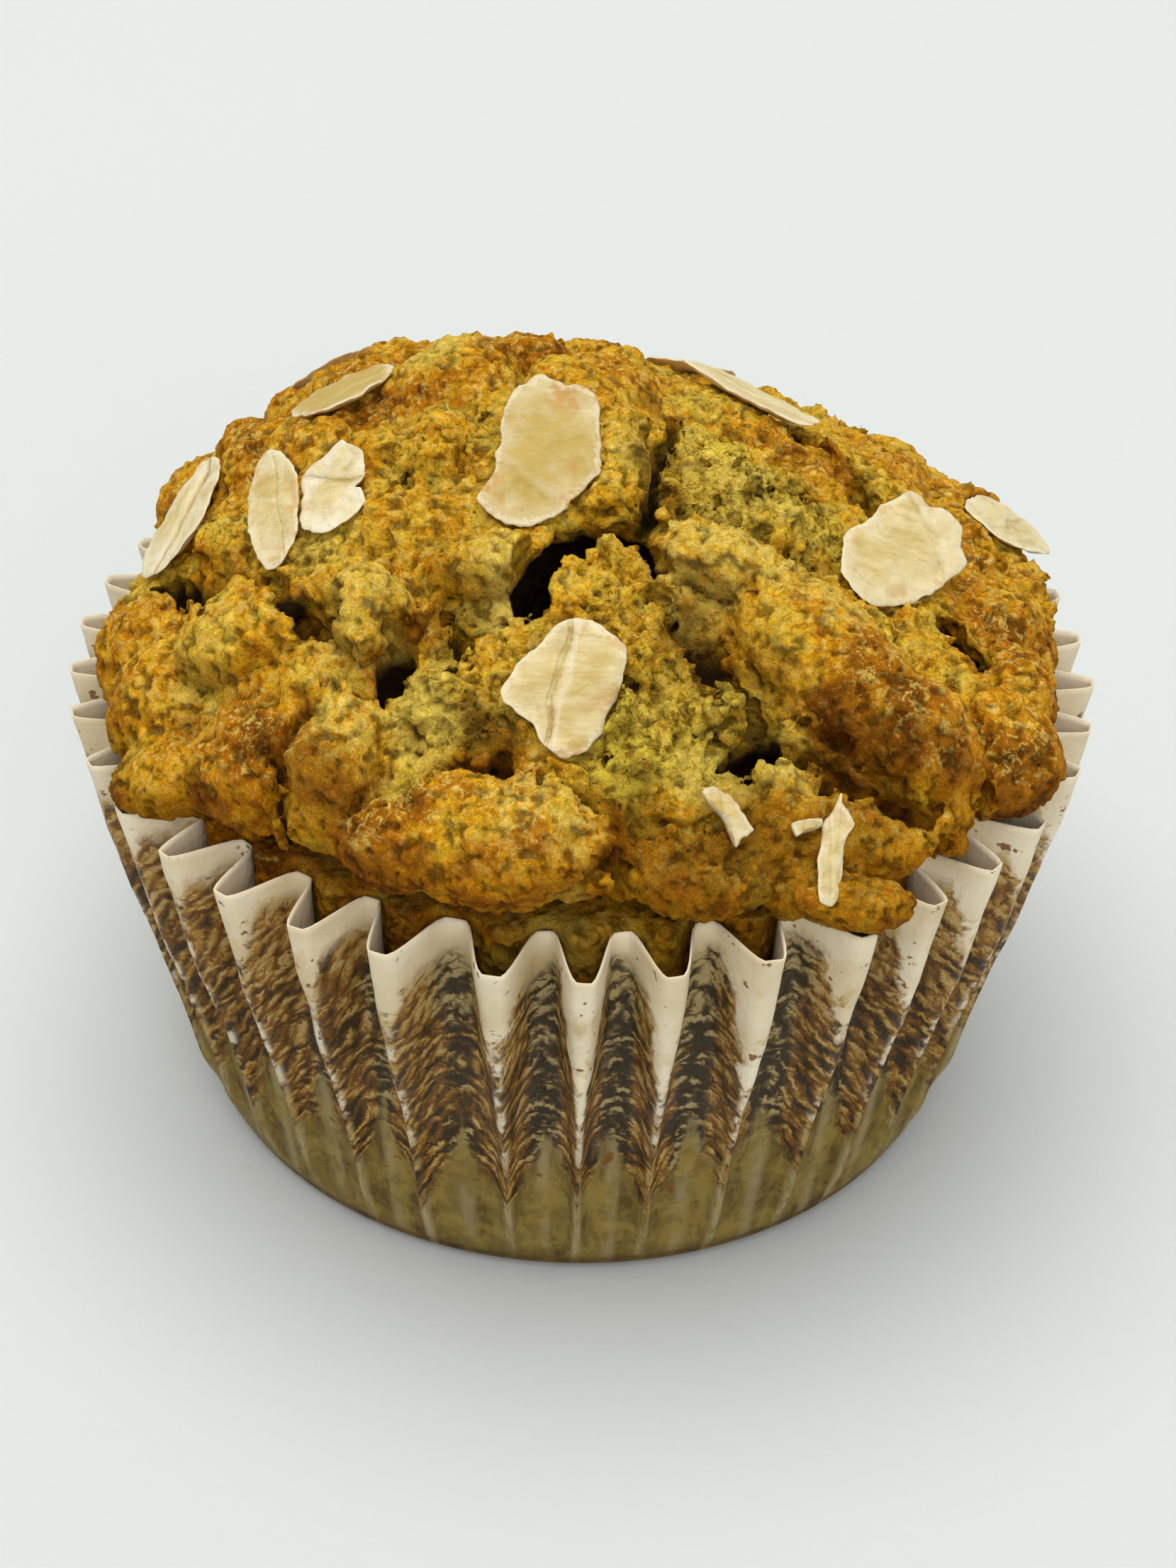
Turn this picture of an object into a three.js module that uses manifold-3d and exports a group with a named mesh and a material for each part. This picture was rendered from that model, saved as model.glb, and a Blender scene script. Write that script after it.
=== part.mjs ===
// A banana and oat muffin in its pleated paper baking case. Millimetres, +Z up.
// The case stands on the plane Z = 0, and -Y is the side the crown's big front crust bulges from.

import * as THREE from 'three';
import { mergeVertices } from 'three/addons/utils/BufferGeometryUtils.js';
import Module from 'manifold-3d';

const wasm = await Module();
wasm.setup();

// ---------------------------------------------------------------- driving dimensions

const TAU = 2 * Math.PI;
const GAP = 0.3; // air left between neighbouring solids

const CASE = {
  baseRadius: 25, // a standard 50 mm case bottom
  height: 29.4,
  ridgeRadius: 32.2, // outer folds at the rim
  troughRadius: 27.9, // inner folds at the rim, pressed against the muffin
  wall: 0.3,
  footRadius: 0.9, // rounding of the bottom edge
  pleatStart: 2.5, // height at which the pleats begin to open
  pleatRise: 17, // height over which they open fully
  pleats: 38,
  bulge: 0.5, // how far the wall bows out halfway up
};

// How far the folds stray from an even pitch, in degrees, going round from the front towards +X.
const PLEAT_DRIFT = [0, -0.5, 0.1, 1.6, 1.1, 0.6, 0.2, 1.7, 1.2, 0.8, 0.3];
const PLEAT_DRIFT_LEFT = [0.5, -2, -1.6, -2.1, -1.6, -1.2, -0.7, -2.2, -0.8, -0.3, 0];
const FIRST_PLEAT_AZIMUTH = 1;

// One pleat across: share of the pitch, and how far out of the trough the paper has come.
const PLEAT_SECTION = [[0, 0], [0.17, 0.16], [0.36, 0.88], [0.5, 1], [0.64, 0.88], [0.83, 0.16]];
const CLOSED_PLEAT = 0.36; // where a flattened pleat lies between trough and ridge
const CASE_LEVELS = [0.22, 0.58, 1]; // shares of the height where the wall has a ring

const CROWN = {
  radius: 30.4, // widest part of the crown
  beltHeight: 32.8, // height of that widest part
  topHeight: 48.6,
  roundness: 1.32, // 1 is a cone, 2 an ellipse
  leanX: -0.222, // the top leans: higher towards -X
  leanY: -0.01,
  centreX: 0.45,
  centreY: 0.35,
  undercut: 6.7, // how far below the belt its rounded underside would close
  inset: 1.1, // how far the plain body lies below the tops of the lumps
};

const PLUG_SEGMENTS = 48;
const PLUG_LEVELS = [0.08, 0.3, 0.6, 1]; // shares of the case's height
const PLUG_CLEARANCE = CASE.wall / 2 + GAP + 0.15; // from the paper's middle surface
const CROWN_DETAIL = 17;
const CROWN_EYE = 30.6; // height of the point that the crown's surface is seen from
const CROWN_FLOOR = 27.5; // the crown's flat underside, sunk in the plug
const LUMP_BLEND = 0.9;
const CRAG_HEIGHT = 0.3;
const CRAG_SIZE = 3.2;
const SEED = 20;

// Lumps of crust: place on the plan, length across, length up the slope, how proud, turn in degrees.
const LUMPS = {
  frontCrust: [-5, -27.3, 13.8, 9, 2.2, -3],
  frontCrest: [-2, -26.4, 8, 7.4, 2.4, 0],
  frontCrustLeft: [-10.2, -26.8, 7.6, 6.2, 1.3, -8],
  leaningCrust: [-13.8, -21.9, 5.6, 8.6, 1.8, -20],
  leftShoulder: [-26.4, -12.2, 9.4, 8.2, 1.2, 0],
  leftCheek: [-19.6, -20.4, 10, 8.8, 1.3, 0],
  leftFlank: [-24.9, -16.6, 9, 7, 0.6, 0],
  leftSide: [-28.2, -7, 9, 9.6, 1.2, 0],
  ledge: [-12.6, -15.4, 6.6, 6.4, 2.1, 20],
  leftPlate: [-20.2, -13, 12, 6.8, 1.3, 10],
  terraceLeft: [-22.6, -4.6, 5.6, 5, 0.3, 0],
  terraceRight: [-18.4, -9, 4.6, 3.6, 0.2, 0],
  crestLeft: [-21.4, 3.6, 7, 8, 0.5, 0],
  crestMiddle: [-17.2, 0.9, 6.6, 6.6, 0.5, 0],
  crestRight: [-13.6, -2.4, 5, 4.6, 0.5, 0],
  topLeft: [-8.6, 5.4, 9.8, 10, 1.5, 0],
  slopeBelowTop: [-9.6, -3.2, 7.4, 8, 0.4, 0],
  slopeLeft: [-11.2, -9.4, 6.6, 6, 0.4, 0],
  overhang: [-5.6, -13.2, 7, 5, 1.6, 8],
  topMiddle: [-0.6, 2, 7.4, 8.4, 0.8, 0],
  topRightRib: [2, -4.6, 4.8, 11, 0.7, -6],
  crumbUpper: [9.8, -1.4, 10.4, 8.4, 0.6, 0],
  crumbLower: [12.4, -4.8, 8.6, 5.2, 0.4, -10],
  ridgeCrest: [8.5, -10.6, 9.8, 4.8, 2.3, -8],
  ridge: [14.1, -14.2, 14, 9, 2.8, -36],
  ridgeFoot: [19.2, -17.6, 9, 8, 2.6, -40],
  rimLumpUpper: [26.2, -2.6, 8.6, 9, 0.7, 0],
  rimLumpMiddle: [26.8, -8.8, 6.6, 7.6, 1.1, 0],
  rimLumpLower: [25.6, -14.6, 8.4, 8.4, 1.4, 0],
  centreRight: [0.9, -17.6, 5.8, 6.6, 0.6, 0],
  centreLow: [1.8, -21.6, 7.2, 5.4, 0.5, 0],
  centreLeft: [-8.4, -20.8, 6.4, 5.2, 0.4, 0],
  frontRight: [7.8, -26.6, 9.6, 5.8, 0.3, 0],
  frontRightOuter: [16.2, -24, 9.4, 6, 0.4, 0],
  hemRight: [7, -28.9, 9.6, 3.6, 0.3, 0],
  hemRightOuter: [14.6, -26.8, 9.4, 4, 0.3, 0],
  cornerRight: [20.6, -20.8, 6.4, 5.6, 0.6, 0],
  crumbOnHole: [9, -19.7, 3.4, 2.6, 0.6, 0],
  frontLeft: [-15.6, -24.2, 7.4, 5, 0.4, 0],
  slopeRight: [19.8, 6.8, 10, 9, 0.5, 0],
  slopeFarRight: [24.6, 5.4, 7.6, 8.6, 0.4, 0],
  crestRightBack: [9.8, 9, 11, 8.4, 0.6, -20],
};

// Hollows: place on the plan, radius, depth.
const HOLLOWS = {
  besideRidge: [6.6, -15.3, 2.3, 2.2],
  frontRightHollow: [15, -21.2, 1.6, 2],
  rightUpperHole: [26, 4.3, 1.1, 2.2],
  aboveFrontCrust: [-4.4, -23.6, 1.4, 2],
  besideUpperRight: [17.4, 3.6, 1.2, 1.6],
  ledgeSideHole: [-10.6, -17.2, 1.4, 3.2],
};

// Cracks between the lumps: width, depth, then the points that they run through on the plan.
const CRACKS = {
  cave: [3, 5.4, [-3.3, -14.3], [-2.2, -12.4], [-0.9, -10.6], [0.6, -9.6], [2.6, -9.3]],
  caveArm: [1.1, 2.2, [2.6, -9.3], [3.6, -9.6], [4.2, -10.6]],
  terrace: [1.4, 1.9,
    [-25.4, -4.4], [-23.4, -6.8], [-20.4, -8.9], [-18.4, -10.6], [-16.6, -13], [-14.6, -15.1],
  ],
  underRidge: [1.2, 1.5, [7.4, -16.4], [10.8, -19.2], [15.4, -21.2], [20, -22]],
  ledgeFront: [1.4, 2, [-10.4, -18.4], [-11.8, -19.2], [-13.4, -19.2]],
  underOverhang: [1.1, 1.4, [-7.8, -15.4], [-6.4, -16.7], [-5.2, -16.6]],
  frontRightHole: [1.6, 3.7, [9.1, -21.3], [9.9, -20.5], [10.8, -19.6]],
  pocketTop: [1.1, 1.5, [3.9, -13], [5.2, -13.5], [6.6, -13.7]],
  rightOfRidge: [1.1, 0.8, [21.6, -11.8], [22.8, -15.4], [23.4, -18.6]],
  rightHole: [1.8, 3.6, [21.8, -5.4], [22.8, -6.4], [24, -7.8]],
  rightOfRib: [1.2, 1.4, [4.4, 4.4], [4.9, 1.4], [4.4, -2.2], [4.1, -5.4], [3.2, -8.2]],
  aboveFrontCrust: [1.4, 1.5, [-7.4, -24], [-4.6, -24], [-2.2, -25.1], [0.2, -25.6], [2.2, -27.1]],
  leftOfLeaning: [1.1, 1, [-13.4, -18.6], [-16, -18.9], [-17.2, -21], [-16.2, -23.6]],
  rightOfFrontCrust: [1.4, 1.5, [2.2, -27.1], [2.8, -28.6], [2.2, -30]],
  lowerRight: [1.2, 1.2, [9.2, -25.4], [6.2, -25.6], [3.3, -25.4]],
  upperRight: [1.2, 1.4, [13.6, 9.9], [15.5, 5.6], [17.2, 4.8], [17.8, 2.4]],
};

// Rolled oats: place on the plan, tip towards the front, turn, bend, and the edge: points round the middle,
// or an oval's length, width, squareness and taper.
const FLAKES = [
  { at: [-2.8, -5.9], tip: 16, turn: 0, bend: 0.5, edge: [
    [-0.3, 4.9], [-1.7, 3.7], [-2.2, 2.4], [-2.4, 0.2], [-2.6, -1.5], [-3.4, -3.3], [-2.9, -4.1],
    [-1.8, -4.8], [-0.3, -4.8], [1.4, -3.9], [3, -1.8], [3.6, -0.6], [3.5, 1.8], [3.1, 3.7],
    [2.3, 4.3], [1.4, 4.2], [0.6, 4.7],
  ] },
  { at: [-1, -20.4], tip: 6, turn: 0, bend: 0.4, edge: [
    [-1.3, 2.9], [-2.5, 1.5], [-3.4, -0.5], [-2.9, -1.2], [-1.5, -2.2], [-0.8, -3.5], [0.2, -4],
    [1.3, -3.6], [2.3, -2.2], [3.1, 0], [3.5, 1.9], [3.1, 3.1], [1.9, 3.9], [0.3, 4.2],
  ] },
  { at: [18.9, -3.1], tip: 22, turn: 0, bend: 0.3, edge: [
    [-3.8, -3.2], [-2.8, -4.6], [-0.9, -4.6], [1, -3.4], [2.8, -1.7], [4.2, 0.8], [3.7, 2], [3.7, 3.2],
    [2.6, 4.1], [1.2, 3.9], [0.1, 4.4], [-1.4, 3.1], [-2.5, 1.3], [-3.8, -0.8],
  ] },
  { at: [-18.5, -6.3], tip: 12, turn: 0, bend: 0.3, edge: [
    [-0.2, 4.3], [-1.1, 3.8], [-1.6, 2.1], [-1.8, 0.3], [-1.6, -1.9], [-0.8, -3.7], [0.1, -3.9],
    [1.1, -3], [1.7, -1], [1.8, 1.2], [1.4, 2.9], [0.7, 3.9],
  ] },
  { at: [-15.2, -6.2], tip: 10, turn: 0, bend: 0.4, edge: [
    [-1.9, 1.6], [-1.9, -0.8], [-1.7, -2.5], [-0.4, -3], [0.9, -2.6], [2.1, -1.6], [1.9, -0.5],
    [1.5, -0.2], [2.3, 0.3], [2.2, 1.9], [1.3, 2.8], [0.5, 3.1], [-0.9, 2.3],
  ] },
  { at: [-25.3, 0.6], tip: 4, turn: 62, bend: 0.5, oval: [9.6, 5.4, 2.2, 0.1] },
  { at: [-15.2, 4.6], tip: 0, turn: 24, bend: 0.3, oval: [6.8, 4.8, 2.3, 0.1] },
  { at: [10.2, 11.2], tip: -2, turn: -24, bend: 0.4, oval: [9.6, 6.2, 2.6, 0.08] },
  { at: [27.7, 9.8], tip: 0, turn: 66, bend: 0.4, oval: [8.4, 6.2, 2.3, 0] },
  { at: [-8.6, 21.6], tip: 0, turn: 30, bend: 0.4, oval: [9, 6.9, 2.5, 0.1] },
  { at: [6.2, 27], tip: 0, turn: 110, bend: 0.4, oval: [8.8, 6.3, 2.3, 0.12] },
  { at: [-18.2, 21], tip: 0, turn: 140, bend: 0.5, oval: [9, 5.8, 2.2, 0.1] },
];
const FLAKE_THICKNESS = 0.6;
const OVAL_SIDES = 16;
const FLAKE_SUNK = 0.25; // how far a flake's middle lies below the crust around it
const SEAT_HEADROOM = 5; // crust cleared above a flake
const PAD_SHARE = 0.4; // size of the lump of crumb that carries a flake, as a share of the flake's
const PAD_DEPTH = 1.6;

// Oat slivers baked into the crust: place on the plan and the points of the edge.
const SLIVERS = [
  { at: [8.2, -25.8], edge: [
    [-1.5, 1.4], [-1, 0.7], [-0.4, 0.1], [0.1, -0.9], [0.4, -1.7], [0.8, -1.1], [1.5, -0.7], [1, 0],
    [0.4, 1], [-0.5, 1.6], [-1.1, 1.7],
  ] },
  { at: [14.3, -25.7], edge: [
    [0.3, 3.2], [-0.2, 2.1], [-0.6, 1.6], [-0.8, 0.4], [-1.1, -1.3], [-1.1, -2.7], [-0.8, -3.2],
    [0, -3], [0.4, -1.7], [0.6, -0.3], [0.7, 0.8], [1.1, 1.6], [0.7, 2.2], [0.4, 2.8],
  ] },
  { at: [12.8, -25.1], edge: [
    [-0.8, 0.3], [-0.8, -0.6], [0, -0.1], [0.8, 0.2], [0.6, 0.6],
  ] },
];
const SLIVER_THICKNESS = 0.9;
const SLIVER_ROOT = 1; // how far a sliver reaches down into the crust below its underside

// ---------------------------------------------------------------- helpers

const radians = (degrees) => (degrees * Math.PI) / 180;

function seeded(seed) {
  let state = seed;
  return () => {
    state = (state * 16807) % 2147483647;
    return state / 2147483647;
  };
}

function smoothStep(value) {
  const t = Math.min(1, Math.max(0, value));
  return t * t * (3 - 2 * t);
}

// Turns a three.js geometry into a manifold-3d solid, and back.
function toSolid(geometry) {
  const bare = new THREE.BufferGeometry();
  bare.setAttribute('position', geometry.getAttribute('position').clone());
  if (geometry.index) bare.setIndex(geometry.index.clone());
  const merged = mergeVertices(bare, 1e-5);
  return new wasm.Manifold(new wasm.Mesh({
    numProp: 3,
    vertProperties: new Float32Array(merged.getAttribute('position').array),
    triVerts: new Uint32Array(merged.index.array),
  }));
}

function toGeometry(solid) {
  const mesh = solid.getMesh();
  const geometry = new THREE.BufferGeometry();
  geometry.setAttribute('position', new THREE.BufferAttribute(mesh.vertProperties, 3));
  geometry.setIndex(new THREE.BufferAttribute(mesh.triVerts, 1));
  return geometry;
}

// ---------------------------------------------------------------- paper case

// Azimuth of a point on the plan: 0 at the front (-Y), growing towards +X.
function ridgeAzimuths() {
  const pitch = 360 / CASE.pleats;
  const azimuths = [];
  for (let i = 0; i < CASE.pleats; i++) {
    const fromLeft = CASE.pleats - i;
    let drift = PLEAT_DRIFT[i] ?? 0;
    if (fromLeft <= PLEAT_DRIFT_LEFT.length) drift = PLEAT_DRIFT_LEFT[fromLeft - 1];
    azimuths.push(FIRST_PLEAT_AZIMUTH + i * pitch + drift);
  }
  return azimuths;
}

// One ring of the case's middle surface at a share of its height, as points on the plan.
function caseRing(share) {
  const height = share * CASE.height;
  const bow = CASE.bulge * 4 * share * (1 - share);
  const open = smoothStep((height - CASE.pleatStart) / CASE.pleatRise);
  const trough = CASE.baseRadius + (CASE.troughRadius - CASE.baseRadius) * share + bow;
  const ridge = CASE.baseRadius + (CASE.ridgeRadius - CASE.baseRadius) * share + bow;
  const ridges = ridgeAzimuths();
  const points = [];
  ridges.forEach((azimuth, i) => {
    const next = i + 1 < ridges.length ? ridges[i + 1] : ridges[0] + 360;
    for (const [across, out] of PLEAT_SECTION) {
      // the section starts at a trough, so it is centred on the ridge between two troughs
      const angle = radians(azimuth + (across + 0.5) * (next - azimuth));
      const reach = CLOSED_PLEAT + (out - CLOSED_PLEAT) * open;
      const radius = trough + (ridge - trough) * reach;
      points.push(new THREE.Vector2(radius * Math.sin(angle), -radius * Math.cos(angle)));
    }
  });
  return points;
}

// Moves a closed ring of plan points sideways by a distance, positive outwards.
function offsetRing(points, distance) {
  return points.map((point, i) => {
    const before = points[(i + points.length - 1) % points.length];
    const after = points[(i + 1) % points.length];
    const inEdge = point.clone().sub(before).normalize();
    const outEdge = after.clone().sub(point).normalize();
    const normal = new THREE.Vector2(inEdge.y + outEdge.y, -inEdge.x - outEdge.x).normalize();
    const miter = 1 / Math.max(0.5, normal.x * inEdge.y - normal.y * inEdge.x);
    return point.clone().addScaledVector(normal, distance * miter);
  });
}

function makePaperCase() {
  const half = CASE.wall / 2;
  const foot = caseRing(0).map((point) => point.clone().setLength(CASE.baseRadius - CASE.footRadius));
  const outer = [{ ring: foot, z: 0 }];
  const inner = [{ ring: foot, z: CASE.wall }];
  const low = CASE.footRadius / CASE.height;
  for (const share of [low, ...CASE_LEVELS]) {
    const ring = caseRing(share);
    outer.push({ ring: offsetRing(ring, half), z: share * CASE.height });
    inner.push({ ring: offsetRing(ring, -half), z: share * CASE.height });
  }
  const rings = [...outer, ...inner.reverse()];
  const count = foot.length;
  const positions = [0, 0, 0];
  for (const { ring, z } of rings) {
    for (const point of ring) positions.push(point.x, point.y, z);
  }
  positions.push(0, 0, CASE.wall);
  const last = positions.length / 3 - 1;
  const index = [];
  for (let i = 0; i < count; i++) {
    const j = (i + 1) % count;
    index.push(0, 1 + j, 1 + i);
    const top = 1 + (rings.length - 1) * count;
    index.push(last, top + i, top + j);
    for (let row = 0; row + 1 < rings.length; row++) {
      const a = 1 + row * count;
      const b = a + count;
      index.push(a + i, a + j, b + j);
      index.push(a + i, b + j, b + i);
    }
  }
  const geometry = new THREE.BufferGeometry();
  geometry.setAttribute('position', new THREE.Float32BufferAttribute(positions, 3));
  geometry.setIndex(index);
  return geometry;
}

// ---------------------------------------------------------------- crown

// Height of the smooth crown above a place on the plan.
function crownHeight(x, y) {
  const dx = x - CROWN.centreX;
  const dy = y - CROWN.centreY;
  const share = Math.min(1, Math.hypot(dx, dy) / CROWN.radius);
  const rise = CROWN.topHeight - CROWN.beltHeight;
  const dome = rise * (1 - share ** CROWN.roundness) ** (1 / CROWN.roundness);
  return CROWN.beltHeight + dome + (CROWN.leanX * dx + CROWN.leanY * dy) * (1 - share * share);
}

// Point on the smooth crown with its outward normal and two tangents.
function crownFrame(x, y) {
  const step = 0.3;
  const origin = new THREE.Vector3(x, y, crownHeight(x, y));
  const normal = new THREE.Vector3(
    crownHeight(x - step, y) - crownHeight(x + step, y),
    crownHeight(x, y - step) - crownHeight(x, y + step),
    2 * step,
  ).normalize();
  const across = new THREE.Vector3(1, 0, 0).addScaledVector(normal, -normal.x).normalize();
  const along = normal.clone().cross(across);
  return { origin, normal, across, along };
}

// Turns a frame's two tangents about its normal.
function turned({ origin, normal, across, along }, degrees) {
  const c = Math.cos(radians(degrees));
  const s = Math.sin(radians(degrees));
  return {
    origin,
    normal,
    across: across.clone().multiplyScalar(c).addScaledVector(along, s),
    along: along.clone().multiplyScalar(c).addScaledVector(across, -s),
  };
}

// A lump is an ellipsoid sunk in the crown, standing proud of it by a given height.
function makeLump([x, y, width, length, proud, turn]) {
  const frame = turned(crownFrame(x, y), turn);
  const depth = 0.3 * Math.min(width, length) + 1;
  const centre = frame.origin.clone().addScaledVector(frame.normal, proud - depth);
  return { frame, centre, radii: [width / 2, length / 2, depth], reach: Math.max(width, length) / 2 + 2 };
}

// Lumps of the side turned away: a sunflower spiral over the plan, where no named lump lies near.
function makeBackLumps(random) {
  const lumps = [];
  const named = Object.values(LUMPS);
  const count = 64;
  for (let i = 0; i < count; i++) {
    const radius = (CROWN.radius - 2) * Math.sqrt((i + 0.5) / count);
    const angle = i * Math.PI * (3 - Math.sqrt(5)) + random() * 0.5;
    const x = radius * Math.cos(angle);
    const y = radius * Math.sin(angle);
    const width = 6 + 5 * random();
    const length = 5.5 + 4 * random();
    const proud = 0.9 * random();
    const turn = 180 * random();
    const taken = named.some((lump) => Math.hypot(lump[0] - x, lump[1] - y) < 0.42 * (lump[2] + width) / 2);
    if (y > 3 && !taken) lumps.push(makeLump([x, y, width, length, proud, turn]));
  }
  return lumps;
}

const lumps = [...Object.values(LUMPS).map(makeLump), ...makeBackLumps(seeded(SEED))];

// Signed distance to an ellipsoid, near enough close to its skin.
function lumpDistance({ frame, centre, radii, reach }, point) {
  const d = point.clone().sub(centre);
  if (d.length() > reach) return reach;
  const local = [d.dot(frame.across), d.dot(frame.along), d.dot(frame.normal)];
  const near = Math.hypot(...local.map((value, i) => value / radii[i]));
  const far = Math.hypot(...local.map((value, i) => value / radii[i] ** 2));
  return far < 1e-6 ? -radii[2] : (near * (near - 1)) / far;
}

// Signed distance to the plain body under the lumps, negative inside.
function bodyDistance(point) {
  const radius = CROWN.radius - CROWN.inset;
  const dx = point.x - CROWN.centreX;
  const dy = point.y - CROWN.centreY;
  const share = Math.hypot(dx, dy) / radius;
  const lean = (CROWN.leanX * dx + CROWN.leanY * dy) * Math.max(0, 1 - share * share);
  const above = point.z - lean - CROWN.beltHeight;
  const rise = above > 0 ? CROWN.topHeight - CROWN.beltHeight - CROWN.inset : CROWN.undercut;
  const power = above > 0 ? CROWN.roundness : 2;
  const level = Math.abs(above) / rise;
  const size = (share ** power + level ** power) ** (1 / power);
  const slope = Math.hypot(
    (share / size) ** (power - 1) / radius,
    (level / size) ** (power - 1) / rise,
  );
  return (size - 1) / slope;
}

function smoothUnion(a, b, blend) {
  const h = Math.max(blend - Math.abs(a - b), 0) / blend;
  return Math.min(a, b) - (h * h * blend) / 4;
}

// Distance on the plan from a point to a run of straight stretches.
function planDistance(points, x, y) {
  let best = Infinity;
  for (let i = 0; i + 1 < points.length; i++) {
    const [ax, ay] = points[i];
    const [bx, by] = points[i + 1];
    const length = (bx - ax) ** 2 + (by - ay) ** 2;
    const t = Math.min(1, Math.max(0, ((x - ax) * (bx - ax) + (y - ay) * (by - ay)) / length));
    best = Math.min(best, Math.hypot(x - ax - t * (bx - ax), y - ay - t * (by - ay)));
  }
  return best;
}

// How far cracks and hollows push the crust in at a place on the plan.
function hollowDepth(x, y) {
  let depth = 0;
  for (const [cx, cy, radius, deep] of Object.values(HOLLOWS)) {
    depth += deep * smoothStep(1.4 * (1 - Math.hypot(x - cx, y - cy) / (1.4 * radius)));
  }
  for (const [width, deep, ...points] of Object.values(CRACKS)) {
    depth = Math.max(depth, deep * smoothStep(1.3 - planDistance(points, x, y) / width));
  }
  return depth;
}

// Small uneven crags: three crossed waves bent by one another.
function crags(point) {
  const [x, y, z] = point.toArray().map((value) => (value * TAU) / CRAG_SIZE);
  const first = Math.sin(x + 1.7 * Math.sin(0.61 * y + 0.4 * z));
  const second = Math.sin(0.9 * y + 1.5 * Math.sin(0.53 * z + 0.7 * x));
  const third = Math.sin(1.1 * z + 1.6 * Math.sin(0.47 * x - 0.6 * y));
  return (CRAG_HEIGHT * (first + second + third)) / 3;
}

function lumpyDistance(point, some) {
  let distance = bodyDistance(point);
  for (const lump of some) distance = smoothUnion(distance, lumpDistance(lump, point), LUMP_BLEND);
  return distance;
}

function crownDistance(point, some) {
  return lumpyDistance(point, some) + hollowDepth(point.x, point.y) + crags(point);
}

// How far out the crust lies along a ray from the crown's eye point.
function crustRadius(eye, direction, some) {
  const point = new THREE.Vector3();
  const inside = (radius) => crownDistance(point.copy(eye).addScaledVector(direction, radius), some) < 0;
  let outer = CROWN.radius + 3;
  const coarse = 0.5;
  while (outer > 1 && !inside(outer)) outer -= coarse;
  let inner = outer;
  outer += coarse;
  for (let i = 0; i < 10; i++) {
    const middle = (inner + outer) / 2;
    if (inside(middle)) inner = middle;
    else outer = middle;
  }
  return inner;
}

function makeCrown(some) {
  const ball = new THREE.IcosahedronGeometry(1, CROWN_DETAIL);
  ball.rotateX(0.3);
  ball.deleteAttribute('normal');
  ball.deleteAttribute('uv');
  const geometry = mergeVertices(ball, 1e-5);
  const eye = new THREE.Vector3(0, 0, CROWN_EYE);
  const position = geometry.getAttribute('position');
  const direction = new THREE.Vector3();
  for (let i = 0; i < position.count; i++) {
    direction.fromBufferAttribute(position, i).normalize();
    let radius = crustRadius(eye, direction, some);
    const floor = (CROWN_FLOOR - eye.z) / direction.z;
    if (direction.z < 0) radius = Math.min(radius, floor);
    position.setXYZ(i, ...eye.clone().addScaledVector(direction, radius).toArray());
  }
  return toSolid(geometry).subtract(makeRimRoom());
}

// A solid turned about the Z axis from a profile of radii and heights.
function turnedSolid(profile) {
  const points = profile.map(([radius, height]) => new THREE.Vector2(radius, height));
  const lathe = new THREE.LatheGeometry(points, PLUG_SEGMENTS);
  lathe.rotateX(Math.PI / 2);
  return toSolid(lathe);
}

// The room that the paper's rim takes up under the crown's edge.
function makeRimRoom() {
  const inside = CASE.troughRadius - PLUG_CLEARANCE;
  const outside = CROWN.radius + 5;
  const top = CASE.height + GAP;
  const bottom = CROWN_FLOOR - 5;
  return turnedSolid([[inside, bottom], [outside, bottom], [outside, top], [inside, top], [inside, bottom]]);
}

// The part of the muffin that fills the case, straight-sided between the paper's inner folds.
function makePlug() {
  const foot = CASE.wall + GAP;
  const top = CASE.height + GAP;
  const profile = [[0, foot], [CASE.baseRadius - CASE.footRadius - PLUG_CLEARANCE - 0.5, foot]];
  for (const share of PLUG_LEVELS) {
    const bow = CASE.bulge * 4 * share * (1 - share);
    const trough = CASE.baseRadius + (CASE.troughRadius - CASE.baseRadius) * share + bow;
    profile.push([trough - PLUG_CLEARANCE, share === 1 ? top : share * CASE.height]);
  }
  profile.push([0, top]);
  return turnedSolid(profile);
}

// ---------------------------------------------------------------- rolled oats

// Points of a flake's edge, anticlockwise seen from above.
function flakeEdge({ edge, oval }) {
  if (edge) return edge;
  const [length, width, square, taper] = oval;
  const points = [];
  for (let i = 0; i < OVAL_SIDES; i++) {
    const c = Math.cos((i * TAU) / OVAL_SIDES);
    const s = Math.sin((i * TAU) / OVAL_SIDES);
    const across = Math.abs(c / (length / 2)) ** square + Math.abs(s / (width / 2)) ** square;
    const radius = across ** (-1 / square);
    points.push([radius * c, radius * s * (1 - 2 * taper * c)]);
  }
  return points;
}

// Half the size of a flake along its two axes.
function halfSizes(edge) {
  return [0, 1].map((axis) => {
    const values = edge.map((point) => point[axis]);
    return (Math.max(...values) - Math.min(...values)) / 2;
  });
}

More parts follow.
